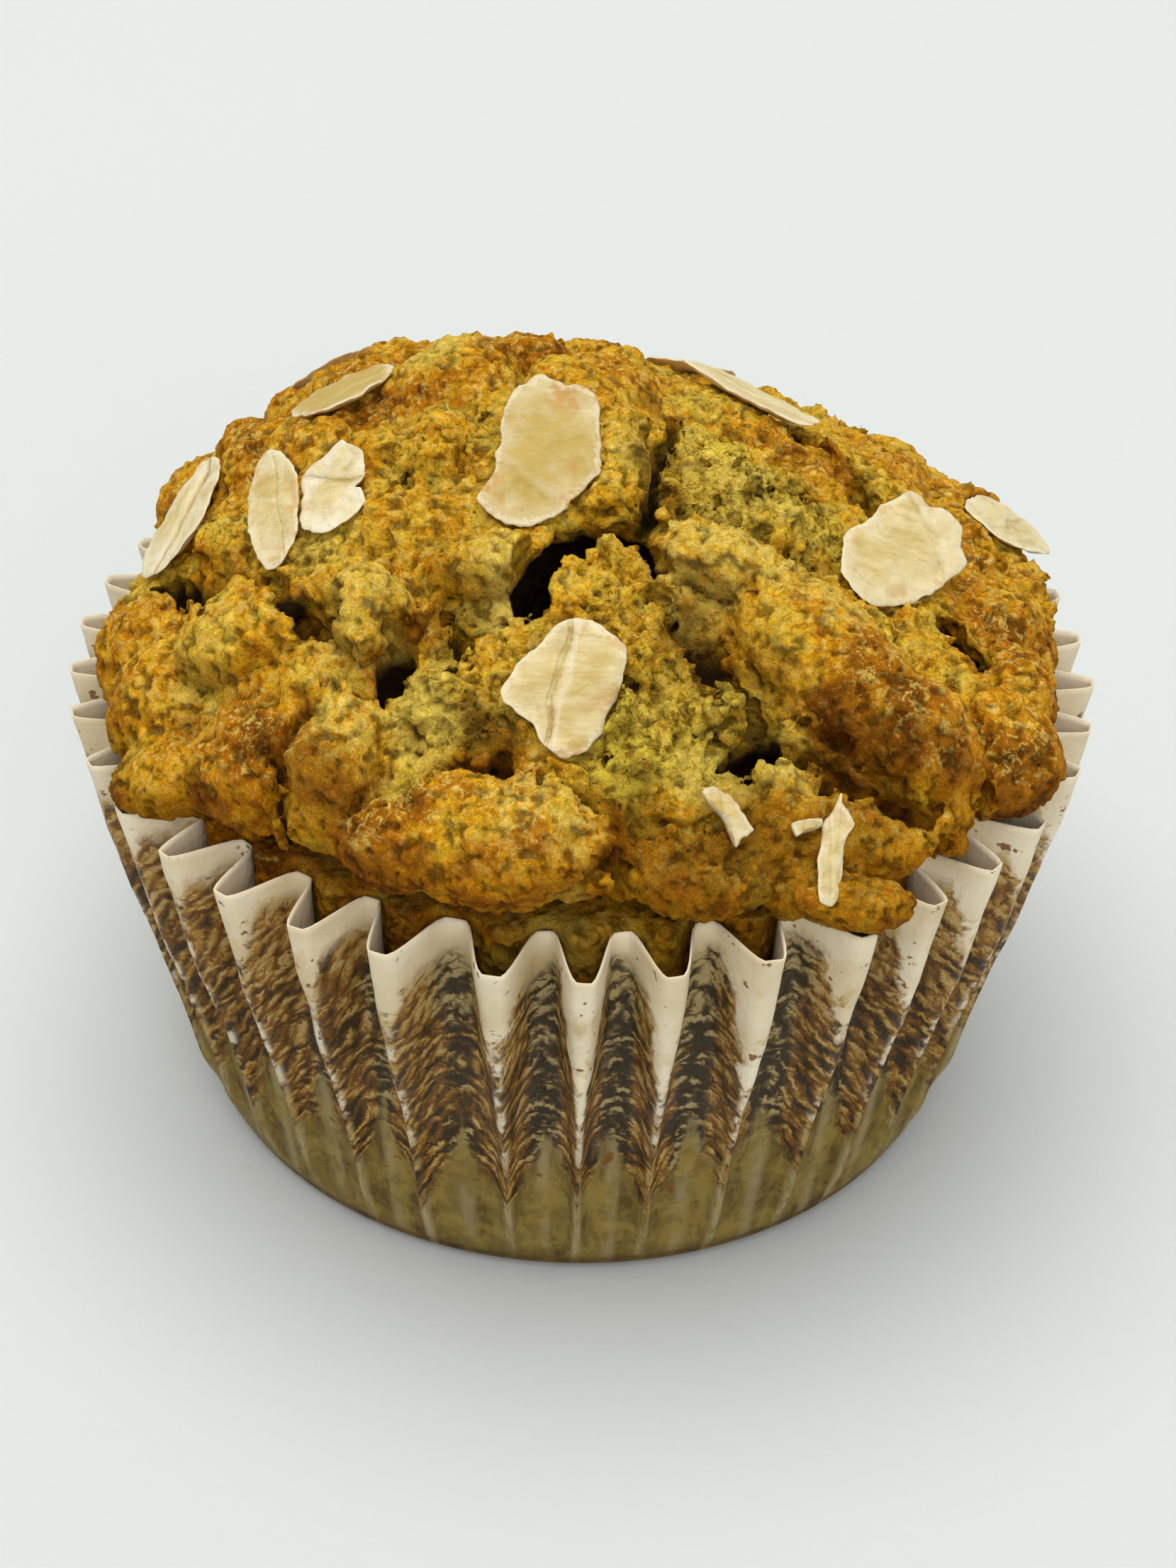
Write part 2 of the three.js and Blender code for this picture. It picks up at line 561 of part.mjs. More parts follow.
// A closed bent slab between two heights: both faces are a centre, a middle ring and an edge ring.
function makeFlakeGeometry(edge, bend, top, bottom, grow) {
  const sides = edge.length;
  const [halfWidth, halfLength] = halfSizes(edge);
  const positions = [];
  const layer = (offset) => {
    const lift = (x, y) => {
      const u = x / halfWidth;
      const v = y / halfLength;
      return (bend * (u * u + v * v - 0.8)) / 2 + 0.2 * u * v + offset;
    };
    positions.push(0, 0, lift(0, 0));
    for (const share of [0.55, 1]) {
      for (const [ex, ey] of edge) {
        const scale = share * (1 + grow / Math.hypot(ex, ey));
        positions.push(ex * scale, ey * scale, lift(ex * share, ey * share));
      }
    }
  };
  layer(top + grow);
  layer(bottom - grow);
  const face = 1 + 2 * sides;
  const index = [];
  for (let i = 0; i < sides; i++) {
    const j = (i + 1) % sides;
    const [m, n] = [1 + i, 1 + j];
    const [e, f] = [1 + sides + i, 1 + sides + j];
    index.push(0, m, n, m, e, f, m, f, n);
    index.push(face, face + n, face + m, face + m, face + f, face + e, face + m, face + n, face + f);
    index.push(e, face + e, face + f, e, face + f, f);
  }
  const geometry = new THREE.BufferGeometry();
  geometry.setAttribute('position', new THREE.Float32BufferAttribute(positions, 3));
  geometry.setIndex(index);
  return geometry;
}

// Where the line along the crown's normal meets the lumps of crust.
function crustBelow({ origin, normal }) {
  const probe = origin.clone().addScaledVector(normal, 4);
  while (lumpyDistance(probe, lumps) > 0) probe.addScaledVector(normal, -0.05);
  return probe;
}

// Lays a flake on the crust: it leans on its front edge, its middle lifted by the tip.
function layFlake(flake) {
  const edge = flakeEdge(flake);
  const [halfWidth, halfLength] = halfSizes(edge);
  const frame = crownFrame(...flake.at);
  const tipped = new THREE.Quaternion().setFromAxisAngle(frame.across, radians(flake.tip));
  const normal = frame.normal.clone().applyQuaternion(tipped);
  const along = frame.along.clone().applyQuaternion(tipped);
  const laid = turned({ ...frame, normal, along }, flake.turn);
  const lift = FLAKE_THICKNESS / 2 - FLAKE_SUNK + 0.7 * halfLength * Math.abs(Math.sin(radians(flake.tip)));
  const middle = crustBelow(frame).addScaledVector(frame.normal, lift);
  const padRadii = [2 * PAD_SHARE * halfWidth, 2 * PAD_SHARE * halfLength, PAD_DEPTH];
  const pad = {
    frame: laid,
    centre: middle.clone().addScaledVector(normal, -FLAKE_THICKNESS / 2 - PAD_DEPTH),
    radii: padRadii,
    reach: Math.max(...padRadii) + 2,
  };
  return { edge, bend: flake.bend, pad, place: basisOf(laid, middle) };
}

function basisOf({ across, along, normal }, origin) {
  return new THREE.Matrix4().makeBasis(across, along, normal).setPosition(origin);
}

function makeFlake({ edge, bend, place }) {
  const half = FLAKE_THICKNESS / 2;
  return {
    body: makeFlakeGeometry(edge, bend, half, -half, 0).applyMatrix4(place),
    seat: makeFlakeGeometry(edge, bend, half + SEAT_HEADROOM, -half, GAP).applyMatrix4(place),
  };
}

function makeSliver({ at, edge }) {
  const frame = crownFrame(...at);
  const middle = crustBelow(frame).addScaledVector(frame.normal, SLIVER_THICKNESS / 2 - FLAKE_SUNK);
  const half = SLIVER_THICKNESS / 2;
  return makeFlakeGeometry(edge, 0.2, half, -half - SLIVER_ROOT, 0).applyMatrix4(basisOf(frame, middle));
}

// ---------------------------------------------------------------- assembly

const COLOURS = {
  crust: new THREE.MeshStandardMaterial({ color: 0xb9812c, roughness: 0.9, metalness: 0 }),
  oat: new THREE.MeshStandardMaterial({ color: 0xe6d3a0, roughness: 0.75, metalness: 0 }),
  paper: new THREE.MeshStandardMaterial({ color: 0xe9e4d6, roughness: 0.7, metalness: 0 }),
};

function addMesh(group, name, geometry, material) {
  geometry.computeVertexNormals();
  const mesh = new THREE.Mesh(geometry, material.clone());
  mesh.name = name;
  group.add(mesh);
}

const laidFlakes = FLAKES.map(layFlake);
const flakes = laidFlakes.map(makeFlake);
let muffin = makePlug().add(makeCrown([...lumps, ...laidFlakes.map((flake) => flake.pad)]));
for (const flake of flakes) muffin = muffin.subtract(toSolid(flake.seat));
for (const sliver of SLIVERS) muffin = muffin.add(toSolid(makeSliver(sliver)));

const model = new THREE.Group();
addMesh(model, 'paper_case', makePaperCase(), COLOURS.paper);
addMesh(model, 'muffin', toGeometry(muffin), COLOURS.crust);
flakes.forEach((flake, i) => {
  addMesh(model, `oat_flake_${String(i + 1).padStart(2, '0')}`, flake.body, COLOURS.oat);
});

// The origin is the middle of the foot: the centre of the bounding box on the plan, at Z = 0.
const middle = new THREE.Box3().setFromObject(model, true).getCenter(new THREE.Vector3());
model.position.set(-middle.x, -middle.y, 0);
model.updateMatrixWorld(true);

export default model;
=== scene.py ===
"""Looks of a banana and oat muffin in its pleated paper case.

The forms repeat the named values of the CAD source, in millimetres, and meshes are made in metres.
The crown is read out of a distance field, so that lumps, cracks and pores are real geometry.
"""
import math

import bpy
import numpy as np
from mathutils import Matrix, Vector


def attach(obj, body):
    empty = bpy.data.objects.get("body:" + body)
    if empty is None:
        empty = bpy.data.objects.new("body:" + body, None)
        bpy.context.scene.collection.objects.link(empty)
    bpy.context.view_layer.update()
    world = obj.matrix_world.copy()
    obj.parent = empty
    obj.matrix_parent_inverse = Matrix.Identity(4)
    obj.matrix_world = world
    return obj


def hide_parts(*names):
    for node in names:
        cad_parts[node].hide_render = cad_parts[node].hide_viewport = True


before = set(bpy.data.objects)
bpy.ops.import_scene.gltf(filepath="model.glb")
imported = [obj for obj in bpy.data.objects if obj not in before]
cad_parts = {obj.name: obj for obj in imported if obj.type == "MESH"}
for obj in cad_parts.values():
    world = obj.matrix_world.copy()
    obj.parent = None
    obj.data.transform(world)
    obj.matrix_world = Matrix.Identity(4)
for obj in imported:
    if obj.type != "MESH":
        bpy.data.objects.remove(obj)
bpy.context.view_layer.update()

# ---------------------------------------------------------------- named values, millimetres and degrees

MM = 0.001
TAU = 2 * math.pi
SEED = 20
FAR = 9.0  # millimetres beyond which a distance no longer matters

CASE = dict(
    base_radius=25.0, height=29.4, ridge_radius=32.2, trough_radius=27.9, foot_radius=0.9,
    pleat_start=2.5, pleat_rise=17.0, pleats=38, bulge=0.5,
)
PLEAT_DRIFT = (0, -0.5, 0.1, 1.6, 1.1, 0.6, 0.2, 1.7, 1.2, 0.8, 0.3)
PLEAT_DRIFT_LEFT = (0.5, -2, -1.6, -2.1, -1.6, -1.2, -0.7, -2.2, -0.8, -0.3, 0)
FIRST_PLEAT_AZIMUTH = 1.0
CLOSED_PLEAT = 0.36
PAPER_THICKNESS = 0.12
RIM_FOLD = dict(half=0.42, tip=0.08)
LOW_FOLD = dict(half=0.15, tip=0.01)
MUFFIN_FOOT = 0.6

CROWN = dict(
    radius=30.4, belt=32.8, top=48.6, roundness=1.32, lean_x=-0.222, lean_y=-0.01,
    centre_x=0.45, centre_y=0.35, undercut=6.7, inset=1.1,
)
LUMP_BLEND = 0.25

# Lumps of crust: place on the plan, length across, length up the slope, how proud, turn, browning.
LUMPS = dict(
    front_crust=(-5.0, -27.3, 13.8, 9.0, 2.2, -3, 0.9),
    front_crest=(-2.0, -26.4, 8.0, 7.4, 2.4, 0, 0.75),
    front_crust_left=(-10.2, -26.8, 7.6, 6.2, 1.3, -8, 1.0),
    leaning_crust=(-13.8, -21.9, 5.6, 8.6, 1.8, -20, 0.8),
    left_shoulder=(-26.4, -12.2, 9.4, 8.2, 1.2, 0, 0.8),
    left_cheek=(-19.6, -20.4, 10.0, 8.8, 1.3, 0, 0.95),
    left_flank=(-24.9, -16.6, 9.0, 7.0, 0.6, 0, 0.8),
    left_side=(-28.2, -7.0, 9.0, 9.6, 1.2, 0, 0.7),
    ledge=(-12.6, -15.4, 6.6, 6.4, 2.1, 20, 0.85),
    left_plate=(-20.2, -13.0, 12.0, 6.8, 1.3, 10, 0.7),
    terrace_left=(-22.6, -4.6, 5.6, 5.0, 0.3, 0, 0.4),
    terrace_right=(-18.4, -9.0, 4.6, 3.6, 0.2, 0, 0.25),
    crest_left=(-21.4, 3.6, 7.0, 8.0, 0.5, 0, 0.8),
    crest_middle=(-17.2, 0.9, 6.6, 6.6, 0.5, 0, 0.85),
    crest_right=(-13.6, -2.4, 5.0, 4.6, 0.5, 0, 0.8),
    top_left=(-8.6, 5.4, 9.8, 10.0, 1.5, 0, 0.8),
    slope_below_top=(-9.6, -3.2, 7.4, 8.0, 0.4, 0, 0.4),
    slope_left=(-11.2, -9.4, 6.6, 6.0, 0.4, 0, 0.55),
    overhang=(-5.6, -13.2, 7.0, 5.0, 1.6, 8, 0.55),
    top_middle=(-0.6, 2.0, 7.4, 8.4, 0.8, 0, 0.7),
    top_right_rib=(2.0, -4.6, 4.8, 11.0, 0.7, -6, 0.45),
    crumb_upper=(9.8, -1.4, 10.4, 8.4, 0.6, 0, 0.1),
    crumb_lower=(12.4, -4.8, 8.6, 5.2, 0.4, -10, 0.1),
    ridge_crest=(8.5, -10.6, 9.8, 4.8, 2.3, -8, 0.85),
    ridge=(14.1, -14.2, 14.0, 9.0, 2.8, -36, 0.75),
    ridge_foot=(19.2, -17.6, 9.0, 8.0, 2.6, -40, 0.85),
    rim_lump_upper=(26.2, -2.6, 8.6, 9.0, 0.7, 0, 0.8),
    rim_lump_middle=(26.8, -8.8, 6.6, 7.6, 1.1, 0, 0.7),
    rim_lump_lower=(25.6, -14.6, 8.4, 8.4, 1.4, 0, 0.8),
    centre_right=(0.9, -17.6, 5.8, 6.6, 0.6, 0, 0.3),
    centre_low=(1.8, -21.6, 7.2, 5.4, 0.5, 0, 0.1),
    centre_left=(-8.4, -20.8, 6.4, 5.2, 0.4, 0, 0.15),
    front_right=(7.8, -26.6, 9.6, 5.8, 0.3, 0, 0.55),
    front_right_outer=(16.2, -24.0, 9.4, 6.0, 0.4, 0, 0.65),
    hem_right=(7.0, -28.9, 9.6, 3.6, 0.3, 0, 0.7),
    hem_right_outer=(14.6, -26.8, 9.4, 4.0, 0.3, 0, 0.7),
    corner_right=(20.6, -20.8, 6.4, 5.6, 0.6, 0, 0.5),
    crumb_on_hole=(9.0, -19.7, 3.4, 2.6, 0.6, 0, 0.1),
    front_left=(-15.6, -24.2, 7.4, 5.0, 0.4, 0, 0.75),
    slope_right=(19.8, 6.8, 10.0, 9.0, 0.5, 0, 0.6),
    slope_far_right=(24.6, 5.4, 7.6, 8.6, 0.4, 0, 0.7),
    crest_right_back=(9.8, 9.0, 11.0, 8.4, 0.6, -20, 0.5),
)
# Holes: place on the plan, radius, depth.
HOLES = dict(
    beside_ridge=(6.6, -15.3, 1.9, 2.4),
    front_right_hollow=(15.0, -21.2, 1.3, 2.2),
    right_upper_hole=(26.0, 4.3, 0.9, 2.4),
    above_front_crust=(-4.4, -23.6, 1.2, 2.2),
    beside_upper_right=(17.4, 3.6, 1.0, 1.8),
    slope_pit=(-7.6, -4.9, 0.6, 1.4),
    slope_pit_left=(-10.8, -5.2, 0.5, 1.2),
    left_plate_pit=(-21.6, -12.0, 0.6, 1.6),
    shoulder_pit=(-22.8, -15.6, 0.5, 1.4),
    ledge_side_hole=(-10.6, -17.2, 1.2, 3.6),
)
# Cracks and caves: half width at the mouth, half width inside, depth, line on the plan.
CRACKS = dict(
    cave=(0.85, 1.9, 6.4, (-3.3, -14.3), (-2.2, -12.4), (-0.9, -10.6), (0.6, -9.6), (2.6, -9.3)),
    cave_arm=(0.5, 0.9, 2.6, (2.6, -9.3), (3.6, -9.6), (4.2, -10.6)),
    terrace=(
        0.7, 1.0, 2.2,
        (-25.4, -4.4), (-23.4, -6.8), (-20.4, -8.9), (-18.4, -10.6), (-16.6, -13.0), (-14.6, -15.1),
    ),
    under_ridge=(0.6, 0.8, 1.8, (7.4, -16.4), (10.8, -19.2), (15.4, -21.2), (20.0, -22.0)),
    ledge_front=(0.7, 0.9, 2.4, (-10.4, -18.4), (-11.8, -19.2), (-13.4, -19.2)),
    under_overhang=(0.4, 0.7, 1.6, (-7.8, -15.4), (-6.4, -16.7), (-5.2, -16.6)),
    front_right_hole=(0.8, 1.2, 4.4, (9.1, -21.3), (9.9, -20.5), (10.8, -19.6)),
    pocket_top=(0.4, 0.6, 1.8, (3.9, -13.0), (5.2, -13.5), (6.6, -13.7)),
    right_of_ridge=(0.4, 0.4, 1.0, (21.6, -11.8), (22.8, -15.4), (23.4, -18.6)),
    right_hole=(0.9, 1.2, 4.2, (21.8, -5.4), (22.8, -6.4), (24.0, -7.8)),
    right_of_rib=(0.6, 0.6, 1.7, (4.4, 4.4), (4.9, 1.4), (4.4, -2.2), (4.1, -5.4), (3.2, -8.2)),
    above_front_crust=(
        0.7, 0.7, 1.8, (-7.4, -24.0), (-4.6, -24.0), (-2.2, -25.1), (0.2, -25.6), (2.2, -27.1),
    ),
    left_of_leaning=(0.5, 0.3, 1.2, (-13.4, -18.6), (-16, -18.9), (-17.2, -21), (-16.2, -23.6)),
    right_of_front_crust=(0.7, 0.6, 1.8, (2.2, -27.1), (2.8, -28.6), (2.2, -30)),
    lower_right=(0.6, 0.6, 1.4, (9.2, -25.4), (6.2, -25.6), (3.3, -25.4)),
    upper_right=(0.6, 0.6, 1.6, (13.6, 9.9), (15.5, 5.6), (17.2, 4.8), (17.8, 2.4)),
)
# Spots of colour and of painted shade and highlight: place on the plan, radius, strength. None reaches below
# the lowest height.
BANANA_SPOTS = (
    (2.6, -22.8, 2.2, 1.0), (-9.8, -24.4, 1.7, 0.9), (10.2, -17.6, 2.0, 0.25), (13.6, -2.4, 2.4, 0.5),
    (8.2, 1.0, 1.6, 0.5), (-26.4, -3.6, 1.8, 0.7), (5.4, -19.6, 1.8, 0.35),
)
# Painted shade in pockets, cracks and hollows and under the lumps; in the valley under the ridge, also a
# damper, darker crumb.
SHADE_SPOTS = (
    (14.2, -19.6, 2.0, 1.0), (17.4, -20.6, 2.2, 1.0), (20.2, -21.2, 2.0, 0.4), (10.0, -17.8, 2.2, 0.6),
    (10.0, -26.0, 3.4, 0.8), (6.5, -28.9, 3.4, 0.8), (15.2, -25.2, 3.4, 0.6), (3.4, -25.6, 2.2, 0.7),
    (6.6, -15.4, 2.4, 1.0), (-5.0, -22.4, 2.0, 0.9), (4.4, -1.6, 1.5, 0.8), (4.2, -5.6, 1.6, 0.8),
    (4.6, 3.6, 1.4, 0.7), (-18.6, -25.8, 3.0, 0.6), (-21.6, -8.0, 1.8, 0.6), (-7.4, -15.8, 1.8, 0.6),
    (16.4, 4.8, 1.6, 0.6), (-14.6, -24.6, 2.0, 0.6), (9.6, -26.6, 3.6, 0.9),
)
BROWN_SPOTS = (
    (17.0, -16.4, 2.8, 0.7), (18.1, -17.8, 2.8, 0.8), (16.0, -18.3, 2.4, 0.8), (19.8, -19.2, 2.6, 0.6),
    (26.0, -15.6, 3.0, 0.5), (-10.7, -26.9, 3.2, 0.5), (-18.6, -21.9, 3.2, 0.5), (-17.9, 8.2, 3.0, 0.5),
    (25.0, -3.0, 3.0, 0.5), (-22.4, 7.4, 2.6, 0.4), (-4.4, -27.8, 2.6, 0.3), (-5.0, 7.5, 3.4, 0.4),
    (26.1, -10.9, 2.4, 0.4), (-14.0, -23.4, 1.6, 0.3),
)
# Paler crust on the crests and tops of lumps, with painted highlight there.
PALE_AND_HIGHLIGHT_SPOTS = (
    (6.8, -11.0, 2.8, 1.0), (10.2, -10.6, 2.4, 0.9), (14.2, -12.0, 2.6, 0.6), (-3.0, -27.0, 2.0, 0.7),
    (-0.4, -27.6, 1.6, 0.6), (-12.8, -21.0, 1.8, 0.6), (-9.0, -21.5, 2.2, 0.6), (-5.0, -14.5, 1.6, 0.9),
    (3.0, -4.9, 1.8, 0.5), (11.1, -2.9, 2.6, 0.5), (-22.2, -14.1, 2.2, 0.4), (-9.5, 7.0, 3.4, 0.7),
    (-12.4, -15.2, 2.4, 0.7), (-13.6, -21.6, 2.4, 0.6), (-13.2, -16.2, 2.4, 0.6), (12.0, -20.9, 2.0, 0.5),
    (7.6, -22.4, 2.0, 0.5),
)
SPOTS = dict(banana=BANANA_SPOTS, dark=SHADE_SPOTS, toast=BROWN_SPOTS, pale=PALE_AND_HIGHLIGHT_SPOTS)
LOWEST_SPOT = 27.0

# Rolled oats: place on the plan, crease (its direction, place and depth), tip towards the front, turn,
# bend, how golden, how powdery, and the edge, as points round the middle or as length, width, squareness
# and taper.
FLAKES = (
    dict(at=(-2.8, -5.9), fold=(65, 0.5, 0.25), tip=16, turn=0, bend=0.5, golden=0.9, powder=0.25, edge=(
        (-0.3, 4.9), (-1.7, 3.7), (-2.2, 2.4), (-2.4, 0.2), (-2.6, -1.5), (-3.4, -3.3), (-2.9, -4.1),
        (-1.8, -4.8), (-0.3, -4.8), (1.4, -3.9), (3.0, -1.8), (3.6, -0.6), (3.5, 1.8), (3.1, 3.7),
        (2.3, 4.3), (1.4, 4.2), (0.6, 4.7))),
    dict(at=(-1.0, -20.4), fold=(-13, 0.13, 0.9), tip=6, turn=0, bend=0.4, golden=0.45, powder=0.15, edge=(
        (-1.3, 2.9), (-2.5, 1.5), (-3.4, -0.5), (-2.9, -1.2), (-1.5, -2.2), (-0.8, -3.5), (0.2, -4.0),
        (1.3, -3.6), (2.3, -2.2), (3.1, 0.0), (3.5, 1.9), (3.1, 3.1), (1.9, 3.9), (0.3, 4.2))),
    dict(at=(18.9, -3.1), fold=(40, -0.55, 0.5), tip=22, turn=0, bend=0.3, golden=0.3, powder=0.3, edge=(
        (-3.8, -3.2), (-2.8, -4.6), (-0.9, -4.6), (1.0, -3.4), (2.8, -1.7), (4.2, 0.8), (3.7, 2.0),
        (3.7, 3.2), (2.6, 4.1), (1.2, 3.9), (0.1, 4.4), (-1.4, 3.1), (-2.5, 1.3), (-3.8, -0.8))),
    dict(at=(-18.5, -6.3), fold=(8, -0.2, 0.25), tip=12, turn=0, bend=0.3, golden=0.4, powder=0.3, edge=(
        (-0.2, 4.3), (-1.1, 3.8), (-1.6, 2.1), (-1.8, 0.3), (-1.6, -1.9), (-0.8, -3.7), (0.1, -3.9),
        (1.1, -3.0), (1.7, -1.0), (1.8, 1.2), (1.4, 2.9), (0.7, 3.9))),
    dict(at=(-15.2, -6.2), fold=(75, -0.25, 0.7), tip=10, turn=0, bend=0.4, golden=0.2, powder=0.9, edge=(
        (-1.9, 1.6), (-1.9, -0.8), (-1.7, -2.5), (-0.4, -3.0), (0.9, -2.6), (2.1, -1.6), (1.9, -0.5),
        (1.5, -0.2), (2.3, 0.3), (2.2, 1.9), (1.3, 2.8), (0.5, 3.1), (-0.9, 2.3))),
    dict(at=(-25.3, 0.6), fold=(90, 0.0, 0.9), tip=4, turn=62,
         bend=0.5, golden=0.25, powder=0.6, edge=(9.6, 5.4, 2.2, 0.1)),
    dict(at=(-15.2, 4.6), fold=(90, 0.2, 0.2), tip=0, turn=24,
         bend=0.3, golden=0.8, powder=0, edge=(6.8, 4.8, 2.3, 0.1)),
    dict(at=(10.2, 11.2), fold=(90, 0.1, 0.5), tip=-2, turn=-24,
         bend=0.4, golden=0.35, powder=0.3, edge=(9.6, 6.2, 2.6, 0.08)),
    dict(at=(27.7, 9.8), fold=(90, 0.0, 0.5), tip=0, turn=66,
         bend=0.4, golden=0.3, powder=0.3, edge=(8.4, 6.2, 2.3, 0)),
    dict(at=(-8.6, 21.6), fold=(90, 0.0, 0.6), tip=0, turn=30,
         bend=0.4, golden=0.5, powder=0.3, edge=(9.0, 6.9, 2.5, 0.1)),
    dict(at=(6.2, 27.0), fold=(90, 0.1, 0.6), tip=0, turn=110,
         bend=0.4, golden=0.3, powder=0.2, edge=(8.8, 6.3, 2.3, 0.12)),
    dict(at=(-18.2, 21.0), fold=(90, -0.1, 0.6), tip=0, turn=140,
         bend=0.5, golden=0.4, powder=0.5, edge=(9.0, 5.8, 2.2, 0.1)),
)
FLAKE_THICKNESS = 0.6
FLAKE_SUNK = 0.25
PAD_SHARE = 0.4
PAD_DEPTH = 1.6

# Broken oats pressed into the crust at the front right.
SLIVERS = (
    dict(at=(8.2, -25.8), edge=(
        (-1.5, 1.4), (-1.0, 0.7), (-0.4, 0.1), (0.1, -0.9), (0.4, -1.7), (0.8, -1.1), (1.5, -0.7),
        (1.0, 0.0), (0.4, 1.0), (-0.5, 1.6), (-1.1, 1.7))),
    dict(at=(14.3, -25.7), edge=(
        (0.3, 3.2), (-0.2, 2.1), (-0.6, 1.6), (-0.8, 0.4), (-1.1, -1.3), (-1.1, -2.7), (-0.8, -3.2),
        (0.0, -3.0), (0.4, -1.7), (0.6, -0.3), (0.7, 0.8), (1.1, 1.6), (0.7, 2.2), (0.4, 2.8))),
    dict(at=(12.8, -25.1), edge=((-0.8, 0.3), (-0.8, -0.6), (0.0, -0.1), (0.8, 0.2), (0.6, 0.6))),
)
SLIVER_THICKNESS = 0.9

# The camera stands where the pictured view was taken from.
CAMERA = dict(distance=194.7, elevation=36.25, roll=1.4, side=0.51, aim_height=19.26, focal_px=4200)
PICTURE = (1659, 2212)
SENSOR_MM = 36.0

# ---------------------------------------------------------------- helpers


def seeded(seed):
    """The same row of random shares as in the CAD source."""
    state = seed
    while True:
        state = (state * 16807) % 2147483647
        yield state / 2147483647


def smooth_step(value):
    t = np.clip(value, 0.0, 1.0)
    return t * t * (3 - 2 * t)


def mix(a, b, share):
    return a + (b - a) * share


class Noise:
    """Gradient noise in space, about -1 to 1, the same on every run."""

    def __init__(self, seed):
        rng = np.random.default_rng(seed)
        self.order = rng.permutation(256).astype(np.int32)
        gradients = rng.normal(size=(256, 3))
        self.gradients = (gradients / np.linalg.norm(gradients, axis=1)[:, None]).astype(np.float32)

    def corner(self, cell):
        x, y, z = (cell[..., i] & 255 for i in range(3))
        return self.order[(self.order[(self.order[x] + y) & 255] + z) & 255]

    def __call__(self, points, size):
        p = np.asarray(points, dtype=np.float32) / np.float32(size)
        cell = np.floor(p).astype(np.int32)
        f = p - cell
        u = f * f * f * (f * (f * 6 - 15) + 10)
        total = np.zeros(len(p), dtype=np.float32)
        for corner in np.ndindex(2, 2, 2):
            d = np.array(corner, dtype=np.int32)
            gradient = self.gradients[self.corner(cell + d)]
            weight = np.prod(np.where(d == 1, u, 1 - u), axis=1)
            total += weight * np.einsum("ij,ij->i", gradient, f - d)
        return total * 1.6

    def layers(self, points, size, count=3, fade=0.5):
        """Several sizes of noise laid over one another."""
        total = 0
        share = 1.0
        for i in range(count):
            total = total + share * self(points + 17.3 * i, size / 2 ** i)
            share *= fade
        return total

    def cells(self, points, size, filled=1.0):
        """Distance to the nearest scattered point, as a share of size, and that point's own share."""
        p = np.asarray(points, dtype=np.float32) / np.float32(size)
        cell = np.floor(p).astype(np.int32)
        best = np.full(len(p), FAR, dtype=np.float32)
        own = np.zeros(len(p), dtype=np.float32)
        for step in np.ndindex(3, 3, 3):
            near = cell + np.array(step, dtype=np.int32) - 1
            pick = self.corner(near)
            centre = near + 0.5 + 0.42 * self.gradients[pick]
            share = (self.order[pick] / 255.0).astype(np.float32)
            distance = np.linalg.norm(p - centre, axis=1)
            distance = np.where(share <= filled, distance, FAR)
            closer = distance < best
            best = np.where(closer, distance, best)
            own = np.where(closer, share, own)
        return best, own


def make_mesh(name, vertices, *tables):
    """A mesh object from millimetre vertices and tables of faces, each with its own number of corners."""
    corners = np.concatenate([np.full(len(table), table.shape[1], dtype=np.int32) for table in tables])
    loops = np.concatenate([table.ravel() for table in tables]).astype(np.int32)
    mesh = bpy.data.meshes.new(name)
    mesh.vertices.add(len(vertices))
    mesh.vertices.foreach_set("co", (np.asarray(vertices) * MM).astype(np.float32).ravel())
    mesh.loops.add(len(loops))
    mesh.loops.foreach_set("vertex_index", loops)
    mesh.polygons.add(len(corners))
    mesh.polygons.foreach_set("loop_start", np.cumsum(corners, dtype=np.int32) - corners)
    mesh.polygons.foreach_set("use_smooth", np.full(len(corners), True))
    mesh.update(calc_edges=True)
    mesh.validate()
    piece = bpy.data.objects.new(name, mesh)
    bpy.context.scene.collection.objects.link(piece)
    return piece


def two_sided(tables, layer):
    """Faces of an outer sheet, and the same turned over on the inner sheet, so many vertices on."""
    return [*tables, *(table[:, ::-1] + layer for table in tables)]


def add_attribute(piece, name, values):
    """A number at each vertex, for the materials to read."""
    layer = piece.data.attributes.new(name, "FLOAT", "POINT")
    layer.data.foreach_set("value", np.asarray(values, dtype=np.float32))


def add_attributes(piece, **values):
    for name, row in values.items():
        add_attribute(piece, name, row)


def finish_piece(piece, nodes, material):
    piece.data.materials.append(material)
    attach(piece, "root")
    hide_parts(*nodes)


# ---------------------------------------------------------------- crown: the large forms


def crown_height(x, y):
    dx = x - CROWN["centre_x"]
    dy = y - CROWN["centre_y"]
    share = np.minimum(1, np.hypot(dx, dy) / CROWN["radius"])
    power = CROWN["roundness"]
    dome = (CROWN["top"] - CROWN["belt"]) * (1 - share ** power) ** (1 / power)
    return CROWN["belt"] + dome + (CROWN["lean_x"] * dx + CROWN["lean_y"] * dy) * (1 - share * share)


def crown_frame(x, y):
    """Point on the smooth crown, and its across, along and normal directions as rows."""
    step = 0.3
    normal = np.array([
        crown_height(x - step, y) - crown_height(x + step, y),
        crown_height(x, y - step) - crown_height(x, y + step),
        2 * step,
    ])
    normal /= np.linalg.norm(normal)
    across = np.array([1.0, 0, 0]) - normal * normal[0]
    across /= np.linalg.norm(across)
    return np.array([x, y, crown_height(x, y)]), np.array([across, np.cross(normal, across), normal])


def turned(axes, degrees):
    c = math.cos(math.radians(degrees))
    s = math.sin(math.radians(degrees))
    across, along, normal = axes
    return np.array([c * across + s * along, c * along - s * across, normal])


def make_lump(x, y, width, length, proud, turn, browning):
    origin, axes = crown_frame(x, y)
    depth = 0.3 * min(width, length) + 1
    return dict(
        axes=turned(axes, turn), centre=origin + axes[2] * (proud - depth),
        radii=np.array([width / 2, length / 2, depth]), reach=max(width, length) / 2 + 2, browning=browning,
    )


